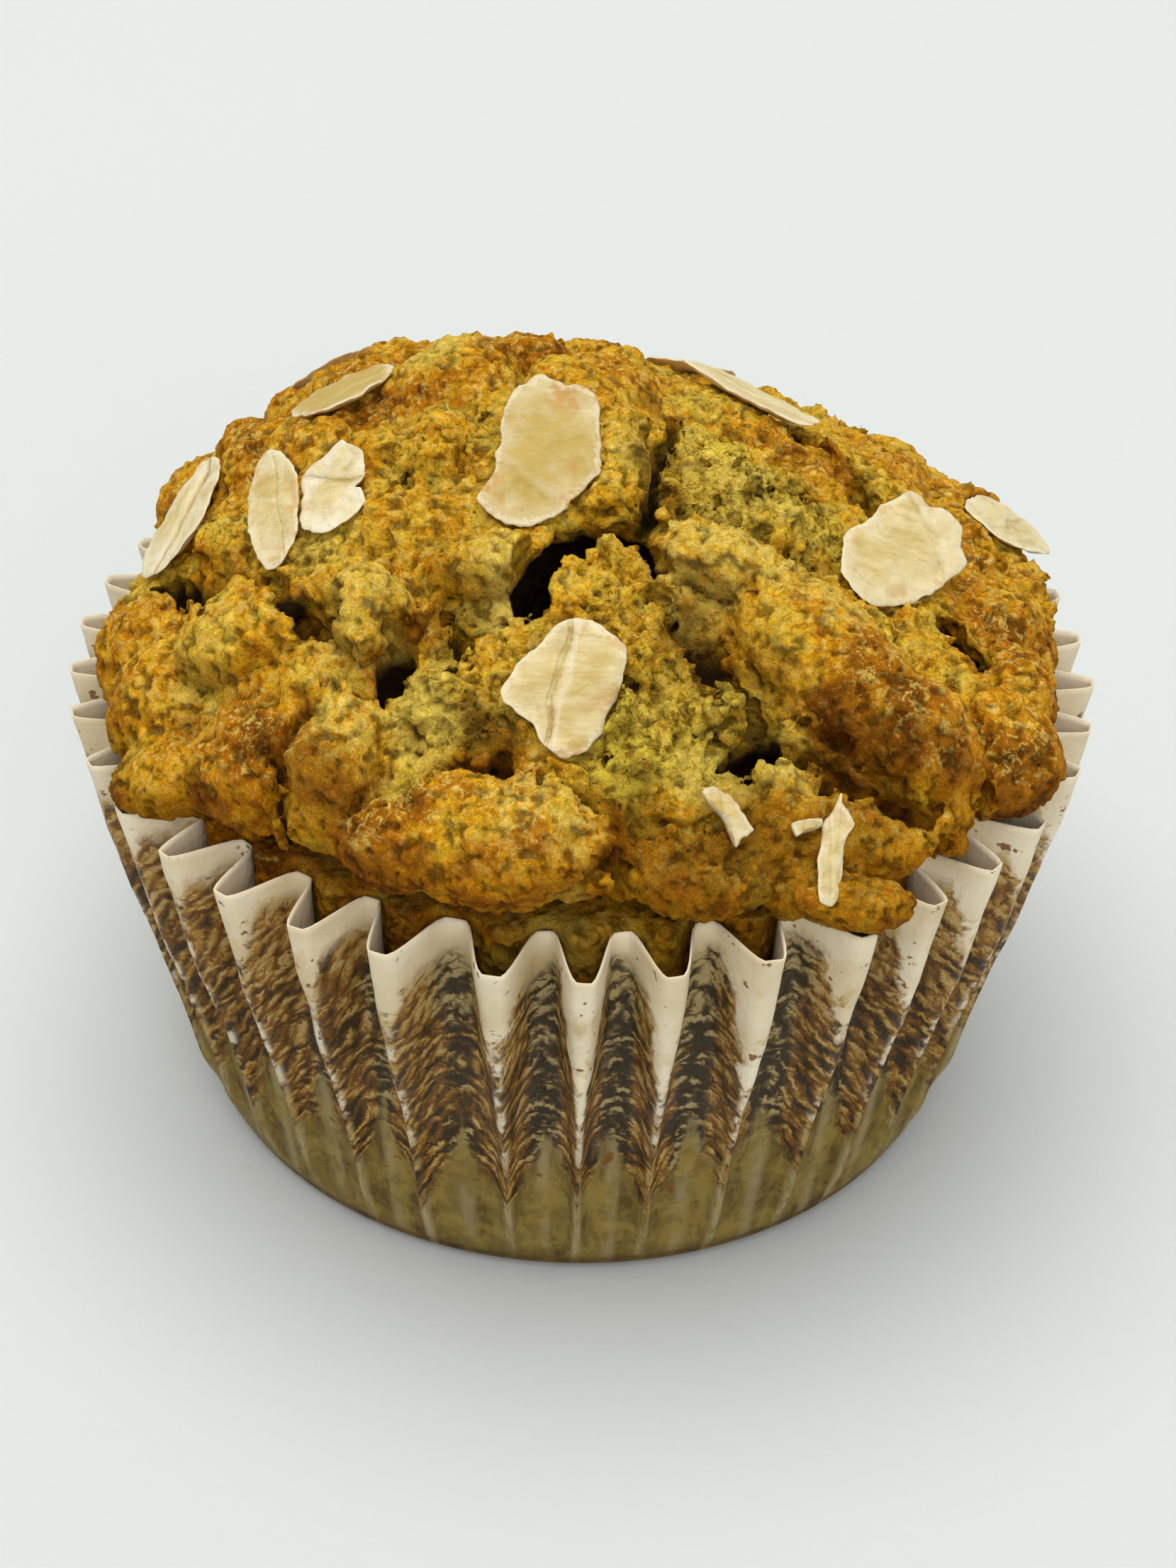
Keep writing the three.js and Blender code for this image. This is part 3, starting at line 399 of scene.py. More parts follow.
def make_back_lumps(shares):
    """The side turned away: lumps on a sunflower spiral, where no named lump lies near."""
    lumps = []
    count = 64
    for i in range(count):
        radius = (CROWN["radius"] - 2) * math.sqrt((i + 0.5) / count)
        angle = i * math.pi * (3 - math.sqrt(5)) + next(shares) * 0.5
        x = radius * math.cos(angle)
        y = radius * math.sin(angle)
        width = 6 + 5 * next(shares)
        length = 5.5 + 4 * next(shares)
        proud = 0.9 * next(shares)
        turn = 180 * next(shares)
        taken = any(math.hypot(lump[0] - x, lump[1] - y) < 0.42 * (lump[2] + width) / 2
                    for lump in LUMPS.values())
        if y > 3 and not taken:
            lumps.append(make_lump(x, y, width, length, proud, turn, 0.5 + 0.4 * proud))
    return lumps


def lump_distance(lump, points):
    local = (points - lump["centre"]) @ lump["axes"].T
    near = np.linalg.norm(local / lump["radii"], axis=1)
    far = np.linalg.norm(local / lump["radii"] ** 2, axis=1)
    return near * (near - 1) / np.maximum(far, 1e-6)


def body_distance(points):
    """Signed distance to the plain crown under the lumps."""
    radius = CROWN["radius"] - CROWN["inset"]
    dx = points[:, 0] - CROWN["centre_x"]
    dy = points[:, 1] - CROWN["centre_y"]
    share = np.hypot(dx, dy) / radius
    lean = (CROWN["lean_x"] * dx + CROWN["lean_y"] * dy) * np.maximum(0, 1 - share * share)
    above = points[:, 2] - lean - CROWN["belt"]
    rise = np.where(above > 0, CROWN["top"] - CROWN["belt"] - CROWN["inset"], CROWN["undercut"])
    power = np.where(above > 0, CROWN["roundness"], 2.0)
    level = np.abs(above) / rise
    size = np.maximum((share ** power + level ** power) ** (1 / power), 1e-4)
    slope = np.hypot((share / size) ** (power - 1) / radius, (level / size) ** (power - 1) / rise)
    return (size - 1) / np.maximum(slope, 1e-4)


def smooth_union(a, b, blend):
    h = np.maximum(blend - np.abs(a - b), 0) / blend
    return np.minimum(a, b) - h * h * blend / 4


def plan_distance(points, x, y):
    if len(points) == 1:
        return np.hypot(x - points[0][0], y - points[0][1])
    best = np.full(len(x), np.inf)
    for (ax, ay), (bx, by) in zip(points, points[1:]):
        length = (bx - ax) ** 2 + (by - ay) ** 2
        t = np.clip(((x - ax) * (bx - ax) + (y - ay) * (by - ay)) / length, 0, 1)
        best = np.minimum(best, np.hypot(x - ax - t * (bx - ax), y - ay - t * (by - ay)))
    return best


ALL_CUTS = list(CRACKS.values()) + [
    (0.9 * radius, radius, deep, (x, y)) for x, y, radius, deep in HOLES.values()
]


def cut_distance(points, below):
    """Signed distance to the cracks, caves and holes, for points that lie so far below the crust."""
    x = points[:, 0]
    y = points[:, 1]
    best = np.full(len(points), FAR)
    for mouth, inner, deep, *line in ALL_CUTS:
        corners = np.array(line)
        near = (np.abs(x - corners[:, 0].mean()) < np.ptp(corners[:, 0]) / 2 + 5)
        near &= (np.abs(y - corners[:, 1].mean()) < np.ptp(corners[:, 1]) / 2 + 5) & (below < deep + 3)
        share = np.clip(below[near] / deep, 0, 1)
        half = mix(mouth, inner, smooth_step(share / 0.45)) * np.sqrt(1 - 0.96 * share ** 3)
        side = plan_distance(line, x[near], y[near]) - half
        best[near] = np.minimum(best[near], np.maximum(side, below[near] - deep))
    return best


def spot_share(spots, points):
    """How strongly scattered colour spots show at each point, 0 to 1."""
    total = np.zeros(len(points))
    for x, y, radius, strength in spots:
        far = np.hypot(points[:, 0] - x, points[:, 1] - y) / radius
        total = np.maximum(total, strength * smooth_step(1.5 - far))
    return total


# ---------------------------------------------------------------- paper case: the pleats


def ridge_azimuths():
    """Azimuths of the outer folds: 0 at the front (-Y), growing towards +X."""
    count = CASE["pleats"]
    azimuths = []
    for i in range(count):
        drift = PLEAT_DRIFT[i] if i < len(PLEAT_DRIFT) else 0
        from_left = count - i
        if from_left <= len(PLEAT_DRIFT_LEFT):
            drift = PLEAT_DRIFT_LEFT[from_left - 1]
        azimuths.append(FIRST_PLEAT_AZIMUTH + i * 360 / count + drift)
    return np.array(azimuths)


RIDGES = ridge_azimuths()


def pleat_place(azimuth):
    """Distance round from the nearest outer fold, as a share of the pitch, and that fold's number."""
    count = len(RIDGES)
    ends = np.concatenate([RIDGES - 360, RIDGES, RIDGES + 360])
    place = np.interp(azimuth, ends, np.arange(3 * count))
    fold = np.round(place)
    return place - fold, fold.astype(int) % count


def paper_reach(off, share):
    """How far the paper has come out of the trough: 1 at the outer fold, 0 in the trough."""
    spread = smooth_step((share - 0.3) / 0.7)
    half = mix(LOW_FOLD["half"], RIM_FOLD["half"], spread)
    tip = mix(LOW_FOLD["tip"], RIM_FOLD["tip"], spread)
    t = np.clip((np.abs(off) - tip) / (half - tip), 0, 1)
    return mix((1 - t) ** 1.2, 1 - smooth_step(t), spread)


def trough_and_ridge(share):
    bow = CASE["bulge"] * 4 * share * (1 - share)
    trough = CASE["base_radius"] + (CASE["trough_radius"] - CASE["base_radius"]) * share + bow
    ridge = CASE["base_radius"] + (CASE["ridge_radius"] - CASE["base_radius"]) * share + bow
    return trough, ridge


def pleat_opening(share):
    return smooth_step((share * CASE["height"] - CASE["pleat_start"]) / CASE["pleat_rise"])


def paper_radius(azimuth, share):
    off, _ = pleat_place(azimuth)
    trough, ridge = trough_and_ridge(share)
    reach = CLOSED_PLEAT + (paper_reach(off, share) - CLOSED_PLEAT) * pleat_opening(share)
    return trough + (ridge - trough) * reach


# ---------------------------------------------------------------- rolled oats: where they lie


def crust_below(origin, normal):
    """Where a line along the normal first meets the lumps of crust."""
    probes = origin + np.outer(np.arange(4, -6, -0.05), normal)
    return probes[np.argmax(lumpy_distance(probes, LUMPS_ALONE) < 0)]


def edge_points(edge, count):
    """A closed curve with count places on it: through given points, or round a rounded box."""
    if not isinstance(edge[0], tuple):
        length, width, square, taper = edge
        angle = np.arange(count) * TAU / count
        c = np.cos(angle)
        s = np.sin(angle)
        radius = (np.abs(c / (length / 2)) ** square + np.abs(s / (width / 2)) ** square) ** (-1 / square)
        return np.stack([radius * c, radius * s * (1 - 2 * taper * c)], axis=1)
    points = np.array(edge)
    place = np.arange(count) * len(points) / count
    i = place.astype(int)
    f = (place - i)[:, None]
    a, b, c, d = (points[(i + step) % len(points)] for step in (-1, 0, 1, 2))
    return b + 0.5 * f * (c - a + f * (2 * a - 5 * b + 4 * c - d + f * (3 * b - a - 3 * c + d)))


def flake_place(x, y, turn, tip, reach):
    """Middle of a flake and its axes: it leans on its front edge, its middle lifted by the tip."""
    origin, (across, along, normal) = crown_frame(x, y)
    c = math.cos(math.radians(tip))
    s = math.sin(math.radians(tip))
    tipped = np.array([across, c * along + s * normal, c * normal - s * along])
    lift = FLAKE_THICKNESS / 2 - FLAKE_SUNK + 0.7 * reach * abs(s)
    return crust_below(origin, normal) + lift * normal, turned(tipped, turn)


def lay_flake(flake):
    """A flake's middle, axes and edge."""
    edge = edge_points(flake["edge"], 24)
    middle, axes = flake_place(*flake["at"], flake["turn"], flake["tip"], np.ptp(edge[:, 1]) / 2)
    return middle, axes, edge


def make_pad(middle, axes, edge):
    """The lump of crumb that carries a flake."""
    across, along = np.ptp(edge, axis=0) * PAD_SHARE
    centre = middle - axes[2] * (FLAKE_THICKNESS / 2 + PAD_DEPTH)
    radii = np.array([across, along, PAD_DEPTH])
    return dict(axes=axes, centre=centre, radii=radii, reach=max(across, along) + 2, browning=0.5)


# ---------------------------------------------------------------- crown: the field with its fine forms

FINE_STEP = 0.25
BAND_STEPS = (4, 2)
CORNERS = np.array(list(np.ndindex(2, 2, 2)))
CELL_EDGES = [(a, b) for a in range(8) for b in range(a + 1, 8) if abs(CORNERS[a] - CORNERS[b]).sum() == 1]
CROWN_SHRINK = 0.3
TORN_BELOW = 0.2
TORN_BLEND = 0.45
POINTS_AT_ONCE = 150000

WARP = Noise(3)
CRAG = Noise(7)
GRAIN = Noise(11)
PORES = Noise(13)

SHARES = seeded(SEED)
LUMPS_ALONE = [make_lump(*lump) for lump in LUMPS.values()] + make_back_lumps(SHARES)


def lumpy_distance(points, lumps):
    distance = body_distance(points)
    for lump in lumps:
        near = np.abs(points - lump["centre"]).max(axis=1) < lump["reach"]
        distance[near] = smooth_union(distance[near], lump_distance(lump, points[near]), LUMP_BLEND)
    return distance


LAID_FLAKES = [lay_flake(flake) for flake in FLAKES]
ALL_LUMPS = LUMPS_ALONE + [make_pad(*laid) for laid in LAID_FLAKES]


def warp(points, height, size):
    """Moves points about unevenly, so that what is cut or laid with them loses its clean edge."""
    moved = np.stack([WARP(points + 31.7 * i, size) for i in range(3)], axis=1)
    return points + height * moved


def plug_distance(points):
    """The part of the muffin inside the case: it swells a little way into each pleat."""
    share = np.clip(points[:, 2] / CASE["height"], 0, 1)
    azimuth = np.degrees(np.arctan2(points[:, 0], -points[:, 1]))
    off, _ = pleat_place(azimuth)
    trough, ridge = trough_and_ridge(share)
    closed = mix(trough, ridge, CLOSED_PLEAT * (1 - pleat_opening(share)))
    swell = 0.3 * paper_reach(off, share) * pleat_opening(share) * (ridge - trough)
    rounded = 1.2 * (1 - smooth_step(points[:, 2] / 2.5))
    side = np.hypot(points[:, 0], points[:, 1]) - (closed + swell - 0.3 - rounded)
    ends = np.maximum(MUFFIN_FOOT - points[:, 2], points[:, 2] - CASE["height"] - 0.6)
    return np.maximum(side, ends)


def browning_share(points):
    """How brown the lumps are baked: near 0 on torn crumb, 1 and more on the darkest crust."""
    weight = np.full(len(points), 0.05)
    brown = np.full(len(points), 0.35 * 0.05)
    for lump in LUMPS_ALONE:
        near = np.abs(points - lump["centre"]).max(axis=1) < lump["reach"] + 2
        nearness = np.exp(-np.maximum(lump_distance(lump, points[near]), 0) / 0.45)
        weight[near] += nearness
        brown[near] += nearness * lump["browning"]
    return brown / weight


def torn_share(brown):
    """1 on torn crumb, 0 on closed crust."""
    return 1 - smooth_step((brown - TORN_BELOW) / TORN_BLEND)


def seat_distance(points):
    """Signed distance to the room that the flakes need, from their undersides upwards."""
    best = np.full(len(points), FAR)
    for middle, axes, edge in LAID_FLAKES:
        near = np.abs(points - middle).max(axis=1) < 8
        local = (points[near] - middle) @ axes.T
        angle = np.arctan2(local[:, 1], local[:, 0])
        round_edge = np.arctan2(edge[:, 1], edge[:, 0])
        order = np.argsort(round_edge)
        reach = np.interp(angle, round_edge[order], np.hypot(*edge.T)[order], period=TAU)
        side = np.hypot(local[:, 0], local[:, 1]) - reach - 0.1
        under = -FLAKE_THICKNESS / 2 - 0.05 - local[:, 2]
        best[near] = np.minimum(best[near], np.maximum(side, np.maximum(under, local[:, 2] - 3)))
    return best


def crown_field(points):
    """Signed distance to the muffin: body and lumps, torn by cracks, with nodules, pores and seats."""
    bent = warp(points, 0.55, 5.5)
    ragged = warp(bent, 0.55, 2.3)
    rough = warp(ragged, 0.35, 1.0)
    distance = lumpy_distance(bent, ALL_LUMPS) + CROWN_SHRINK
    torn = torn_share(browning_share(points))
    cut = cut_distance(rough, -distance)
    torn = np.maximum(torn, 1 - smooth_step(cut / 1.2))
    nodules = (
        mix(0.5, 1.2, torn) * np.abs(CRAG(ragged, 3.6)) + mix(0.6, 0.9, torn) * np.abs(CRAG(ragged + 40, 1.7))
        + 0.5 * np.abs(CRAG(rough + 80, 0.85))
    )
    distance = distance - mix(0.65, 1.4, torn) * (nodules - mix(0.44, 0.68, torn))
    distance = np.maximum(distance, -cut)
    for size, filled in ((2.9, 0.45), (1.3, 0.5)):
        hole, own = PORES.cells(rough + 7 * size, size, filled)
        pore = ((0.12 + 0.2 * own) - hole) * size
        distance = np.maximum(distance, pore - mix(0.28, 0.0, torn))
    distance = np.maximum(distance, -seat_distance(points))
    rim = CASE["height"] + 0.12 + 0.25 * CRAG(points, 5) - points[:, 2]
    return smooth_union(np.maximum(distance, rim), plug_distance(points), 0.5)


def surface_nets(field, xs, ys, zs):
    """A quad mesh of the field's zero level on a grid with uneven steps."""
    inside = field < 0
    shape = np.array(field.shape) - 1
    count = np.zeros(shape, dtype=np.uint8)
    for dx, dy, dz in CORNERS:
        count += inside[dx:dx + shape[0], dy:dy + shape[1], dz:dz + shape[2]]
    active = (count > 0) & (count < 8)
    cells = np.argwhere(active)
    number = np.full(active.shape, -1, dtype=np.int32)
    number[active] = np.arange(len(cells))
    values = [field[tuple((cells + corner).T)] for corner in CORNERS]
    total = np.zeros((len(cells), 3))
    crossings = np.zeros(len(cells))
    for a, b in CELL_EDGES:
        cross = (values[a] < 0) != (values[b] < 0)
        t = values[a][cross] / (values[a][cross] - values[b][cross])
        total[cross] += CORNERS[a] + t[:, None] * (CORNERS[b] - CORNERS[a])
        crossings[cross] += 1
    local = total / crossings[:, None]
    vertices = np.stack([
        axis[cells[:, i]] + local[:, i] * (axis[cells[:, i] + 1] - axis[cells[:, i]])
        for i, axis in enumerate((xs, ys, zs))
    ], axis=1)
    quads = []
    for axis in range(3):
        first = (axis + 1) % 3
        second = (axis + 2) % 3
        low = [slice(1, -1)] * 3
        low[axis] = slice(0, -1)
        high = list(low)
        high[axis] = slice(1, None)
        here = inside[tuple(low)]
        there = inside[tuple(high)]
        for flip, mask in ((False, here & ~there), (True, ~here & there)):
            start = np.argwhere(mask)
            start += np.array([0 if i == axis else 1 for i in range(3)])
            ring = []
            for back_first, back_second in ((0, 0), (1, 0), (1, 1), (0, 1)):
                cell = start.copy()
                cell[:, first] -= back_first
                cell[:, second] -= back_second
                ring.append(number[tuple(cell.T)])
            ring = np.stack(ring, axis=1)
            quads.append(ring[:, ::-1] if flip else ring)
    return vertices, np.concatenate(quads)


def on_the_surface(values, reach):
    """Marks grid places within reach steps of a change of sign."""
    inside = values < 0
    found = np.zeros(values.shape, dtype=bool)
    for axis in range(3):
        change = np.diff(inside, axis=axis)
        low = tuple(slice(0, -1) if i == axis else slice(None) for i in range(3))
        high = tuple(slice(1, None) if i == axis else slice(None) for i in range(3))
        found[low] |= change
        found[high] |= change
    for axis in range(3):
        spread = found.copy()
        for step in range(1, reach + 1):
            low = tuple(slice(0, -step) if i == axis else slice(None) for i in range(3))
            high = tuple(slice(step, None) if i == axis else slice(None) for i in range(3))
            spread[low] |= found[high]
            spread[high] |= found[low]
        found = spread
    return found


def read_field(function, axes, places):
    points = np.stack([axis[places[:, i]] for i, axis in enumerate(axes)], axis=1)
    starts = range(0, len(points), POINTS_AT_ONCE)
    return np.concatenate([function(points[i:i + POINTS_AT_ONCE]) for i in starts]).astype(np.float32)


def sample_field(function, axes):
    """Reads the function on the grid, each finer grid only where the last one found the surface."""
    field = None
    for step in (*BAND_STEPS, 1):
        lines = [axis[::step] for axis in axes]
        shape = tuple(len(line) for line in lines)
        if field is None:
            wanted = np.ones(shape, dtype=bool)
            finer = np.empty(shape, dtype=np.float32)
        else:
            wanted = on_the_surface(field, 1)
            finer = field
            for axis in range(3):
                finer = np.repeat(finer, 2, axis=axis).take(np.arange(shape[axis]), axis=axis, mode="clip")
                wanted = np.repeat(wanted, 2, axis=axis).take(np.arange(shape[axis]), axis=axis, mode="clip")
        finer[wanted] = read_field(function, lines, np.argwhere(wanted))
        field = finer
    return field


def grid_levels():
    """Grid lines: even steps through the crown, long steps down the hidden side."""
    step = FINE_STEP
    reach = CROWN["radius"] + 3
    plan = np.arange(-reach, reach + step, step)
    low = np.arange(MUFFIN_FOOT - 1.5, 21.0, 1.5)
    high = np.arange(21.0, CROWN["top"] + 3.5, step)
    return plan, plan, np.concatenate([low, high])


def vertex_normals(piece):
    normals = np.empty(len(piece.data.vertices) * 3, dtype=np.float32)
    piece.data.vertex_normals.foreach_get("vector", normals)
    return normals.reshape(-1, 3)


def largest_shell(vertices, quads):
    """Drops loose scraps: keeps the shell that holds the most vertices."""
    label = np.arange(len(vertices))
    pairs = np.concatenate([quads[:, [0, 1]], quads[:, [1, 2]], quads[:, [2, 3]]])
    while True:
        low = np.minimum(label[pairs[:, 0]], label[pairs[:, 1]])
        lower = label.copy()
        np.minimum.at(lower, pairs[:, 0], low)
        np.minimum.at(lower, pairs[:, 1], low)
        lower = lower[lower]
        if (lower == label).all():
            break
        label = lower
    kept = label == np.bincount(label).argmax()
    number = np.cumsum(kept) - 1
    return vertices[kept], number[quads[kept[quads[:, 0]]]]


def averaged(values, quads, rounds):
    """Each vertex takes the mean of its faces' corners, again and again."""
    count = np.bincount(quads.ravel(), minlength=len(values))
    for _ in range(rounds):
        face = values[quads].mean(axis=1)
        total = np.stack([
            np.bincount(quads.ravel(), np.repeat(face[:, i], 4), len(values)) for i in range(face.shape[1])
        ], axis=1)
        values = total / count[:, None]
    return values


def make_muffin(material):
    axes = grid_levels()
    vertices, quads = surface_nets(sample_field(crown_field, axes), *axes)
    vertices, quads = largest_shell(vertices, quads)
    piece = make_mesh("muffin_crumb_and_crust", vertices, quads)
    shown = smooth_step((vertices[:, 2] - 22) / 3)
    normals = vertex_normals(piece)
    brown = browning_share(warp(vertices, 0.9, 3.0))
    below = -(lumpy_distance(vertices, LUMPS_ALONE) + CROWN_SHRINK)
    torn = torn_share(brown)
    smoothed = averaged(vertices, quads, 3)
    broad = averaged(smoothed, quads, 22)
    hump = np.einsum("ij,ij->i", smoothed - broad, normals)
    edge = np.einsum("ij,ij->i", vertices - smoothed, normals)
    clump = GRAIN.layers(warp(vertices, 0.3, 0.8), 0.9, 2, 0.6)
    pit = smooth_step((-0.18 - clump) / 0.3)
    grain = 1.3 * np.abs(GRAIN(vertices, 0.95)) + 0.8 * GRAIN(vertices + 9, 0.5)
    move = mix(0.15, 0.24, torn) * (grain - 0.35) - mix(0.16, 0.26, torn) * pit
    moved = vertices + normals * (move * shown)[:, None]
    piece.data.vertices.foreach_set("co", (moved * MM).astype(np.float32).ravel())
    piece.data.update()
    up = averaged(normals, quads, 6)[:, 2]
    # below, edge and pit carry painted shade into the crust's cracks and pores; hump and up carry painted
    # shade into recesses and undersides, and up carries painted highlight onto tops.
    add_attributes(piece, browning=brown, torn=torn, pit=pit, below=below, hump=hump, edge=edge, up=up)
    patchy = warp(vertices, 0.9, 2.2)
    for name, spots in SPOTS.items():
        add_attribute(piece, name, spot_share(spots, patchy) * (vertices[:, 2] > LOWEST_SPOT))
    finish_piece(piece, ["muffin"], material)
    return piece


# ---------------------------------------------------------------- paper case: the mesh

PLEAT_STEPS = 20
CASE_ROWS = 68
CRIMP_PITCH = 1.1
SCATTER = (12.9898, 43758.5453)  # turns a fold's number into its own share


def foot_rings(count):
    """The flat base and its rounded foot."""
    inner = np.linspace(0.25, 1, 4, endpoint=False) * (CASE["base_radius"] - CASE["foot_radius"])
    turns = np.linspace(0, math.pi / 2, 6)
    radii = [*inner, *(CASE["base_radius"] - CASE["foot_radius"] * (1 - np.sin(turns)))]
    heights = [*np.zeros(len(inner)), *(CASE["foot_radius"] * (1 - np.cos(turns)))]
    return [(np.full(count, radius), np.full(count, height)) for radius, height in zip(radii, heights)]


def crimp_rise(azimuth, share):
    """Height along which the little folds across each trough run: they arch over the trough."""
    off, _ = pleat_place(azimuth)
    angle = np.radians(azimuth)
    place = np.stack([30 * np.sin(angle), -30 * np.cos(angle), share * CASE["height"] + 0 * angle], axis=1)
    arch = 2.6 * 4 * (0.5 - np.abs(off)) ** 2
    return share * CASE["height"] + arch + 0.9 * WARP(place, 3.4) + 0.35 * WARP(place + 9, 1.5)


def wall_ring(azimuth, share):
    """Radius and height all round the wall, with the paper's unevenness."""
    off, _ = pleat_place(azimuth)
    reach = paper_reach(off, share)
    height = share * CASE["height"]
    angle = np.radians(azimuth)
    mean = mix(CASE["base_radius"], CASE["ridge_radius"], share)
    place = np.stack([mean * np.sin(angle), -mean * np.cos(angle), np.full(len(angle), height)], axis=1)
    opened = pleat_opening(share)
    crimp = np.sin(TAU * crimp_rise(azimuth, share) / CRIMP_PITCH)
    amount = smooth_step((share - 0.22) / 0.2) * smooth_step((0.93 - share) / 0.15) * (1 - reach)
    uneven = opened * (0.16 * WARP(place, 4.5) + 0.05 * WARP(place + 50, 1.6)) + 0.05 * crimp * amount
    fluting = 0.8 * (1 - opened) * (reach - 0.15) * smooth_step((height - 1) / 4)
    rise = height + share ** 4 * (0.35 * WARP(place + 90, 9) + 0.12 * WARP(place + 20, 2.5))
    return paper_radius(azimuth, share) + uneven + fluting, rise


def make_paper_case(material):
    count = CASE["pleats"] * PLEAT_STEPS
    place = np.arange(count) / PLEAT_STEPS
    azimuth = np.interp(place, np.arange(CASE["pleats"] + 1), np.append(RIDGES, RIDGES[0] + 360))
    rings = foot_rings(count)
    shares = [0.0] * len(rings)
    for i in range(1, CASE_ROWS + 1):
        share = mix(CASE["foot_radius"] / CASE["height"], 1.0, i / CASE_ROWS)
        rings.append(wall_ring(azimuth, share))
        shares.append(share)
    angle = np.radians(azimuth)
    outside = np.concatenate([
        np.stack([radius * np.sin(angle), -radius * np.cos(angle), height], axis=1)
        for radius, height in rings
    ])
    outside = np.concatenate([outside, [[0, 0, 0]]])
    i = np.arange(count)
    j = (i + 1) % count
    rows = len(rings)
    wall = np.concatenate([
        np.stack([r * count + i, r * count + j, (r + 1) * count + j, (r + 1) * count + i], axis=1)
        for r in range(rows - 1)
    ])
    hub = np.stack([np.full(count, rows * count), j, i], axis=1)
    normals = sheet_normals(outside, wall)
    inside = outside - PAPER_THICKNESS * normals
    layer = len(outside)
    top = (rows - 1) * count
    rim = np.stack([top + i, top + j, layer + top + j, layer + top + i], axis=1)
    faces = two_sided((wall, hub), layer)
    piece = make_mesh("paper_case_sheet", np.concatenate([outside, inside]), *faces, rim)
    off, fold = pleat_place(np.tile(azimuth % 360, rows))
    share = np.repeat(shares, count)
    lot = np.sin(fold * SCATTER[0]) * SCATTER[1] % 1.0
    lot = 0.5 + (lot - 0.5) * smooth_step((0.5 - np.abs(off)) / 0.12)
    rise = np.concatenate([crimp_rise(azimuth % 360, level) for level in shares])
    values = dict(reach=paper_reach(off, share), off=np.abs(off), level=share, lot=lot, rise=rise)
    add_attributes(piece, **{name: np.tile(np.append(row, 0), 2) for name, row in values.items()})
    add_attribute(piece, "inside", np.repeat([0, 1], layer))
    finish_piece(piece, ["paper_case"], material)
    return piece


def sheet_normals(vertices, quads):
    """Outward normals of the paper's outer face, with the base's pointing down."""
    a, b, c, d = (vertices[quads[:, i]] for i in range(4))
    face = np.cross(c - a, d - b)
    total = np.stack([
        np.bincount(quads.ravel(), np.repeat(face[:, i], 4), len(vertices)) for i in range(3)
    ], axis=1)
    total[-1] = (0, 0, -1)
    return total / np.maximum(np.linalg.norm(total, axis=1), 1e-9)[:, None]


# ---------------------------------------------------------------- rolled oats: the meshes

FLAKE_SIDES = 120
FLAKE_RINGS = (0.1, 0.2, 0.3, 0.4, 0.5, 0.6, 0.7, 0.79, 0.87, 0.93, 0.975, 1.0)


def flake_shell(edge, bend, fold, thickness, number):
    """A flake lying flat: its vertices, faces and how near the edge each vertex is."""
    loop = edge_points(edge, FLAKE_SIDES)
    plan = np.concatenate([[[0, 0]]] + [loop * share for share in FLAKE_RINGS])
    rim = np.concatenate([[0]] + [np.full(FLAKE_SIDES, share) for share in FLAKE_RINGS])
    flat = np.column_stack([plan, np.zeros(len(plan))]) + np.array([7.0 * number, 3.0 * number, 0])
    nibbled = (0.22 * GRAIN(flat, 1.3) + 0.12 * GRAIN(flat + 5, 0.5)) * smooth_step((rim - 0.55) / 0.45)
    plan = plan * (1 + nibbled / np.maximum(np.linalg.norm(plan, axis=1), 1))[:, None]
    u, v = (plan / (np.ptp(loop, axis=0) / 2)).T
    turn, aside, depth = fold
    turn = math.radians(turn)
    fold_line = u * math.cos(turn) + v * math.sin(turn) + aside + 0.13 * WARP(flat, 2.0)
    crease = np.exp(-fold_line ** 2 / 0.02)
    lift = bend * (u * u + v * v - 0.8) * 0.5 + 0.2 * u * v + 0.16 * CRAG(flat, 2.6)
    lift = lift + 0.08 * CRAG(flat, 1.0) + 0.05 * GRAIN(flat + 3, 0.55) + 0.1 * smooth_step((rim - 0.7) / 0.3)
    thick = thickness / 2 * (1 - 0.55 * rim ** 2) * np.sqrt(np.clip(1.01 - rim ** 8, 0.01, 1))
    thick = thick * (1 + 0.25 * CRAG(flat, 1.5))
    top = lift + thick + depth * (0.16 * smooth_step(fold_line / 0.12) - 0.14 * crease) * (1 - rim ** 6)
    vertices = np.concatenate([np.column_stack([plan, top]), np.column_stack([plan, lift - thick])])
    face = len(plan)
    i = np.arange(FLAKE_SIDES)
    j = (i + 1) % FLAKE_SIDES
    fan = np.stack([np.zeros(FLAKE_SIDES, int), 1 + i, 1 + j], axis=1)
    rings = np.concatenate([
        np.stack([a + i, a + FLAKE_SIDES + i, a + FLAKE_SIDES + j, a + j], axis=1)
        for a in 1 + FLAKE_SIDES * np.arange(len(FLAKE_RINGS) - 1)
    ])
    last = 1 + (len(FLAKE_RINGS) - 1) * FLAKE_SIDES
    side = np.stack([last + i, face + last + i, face + last + j, last + j], axis=1)
    faces = [*two_sided((fan, rings), face), side]
    attributes = dict(rim=rim, fold=fold_line, depth=np.full(len(rim), depth), u=u + 3 * number, v=v)
    return vertices, faces, {name: np.tile(values, 2) for name, values in attributes.items()}


def make_flake(number, flake, laid, material):
    vertices, faces, attributes = flake_shell(
        flake["edge"], flake["bend"], flake["fold"], FLAKE_THICKNESS, number)
    middle, axes, _ = laid
    piece = make_mesh(f"oat_{number:02d}", middle + vertices @ axes, *faces)
    add_attributes(piece, **attributes)
    for name in ("golden", "powder"):
        add_attribute(piece, name, np.full(len(vertices), flake[name]))
    finish_piece(piece, [f"oat_flake_{number:02d}"], material)
    return piece


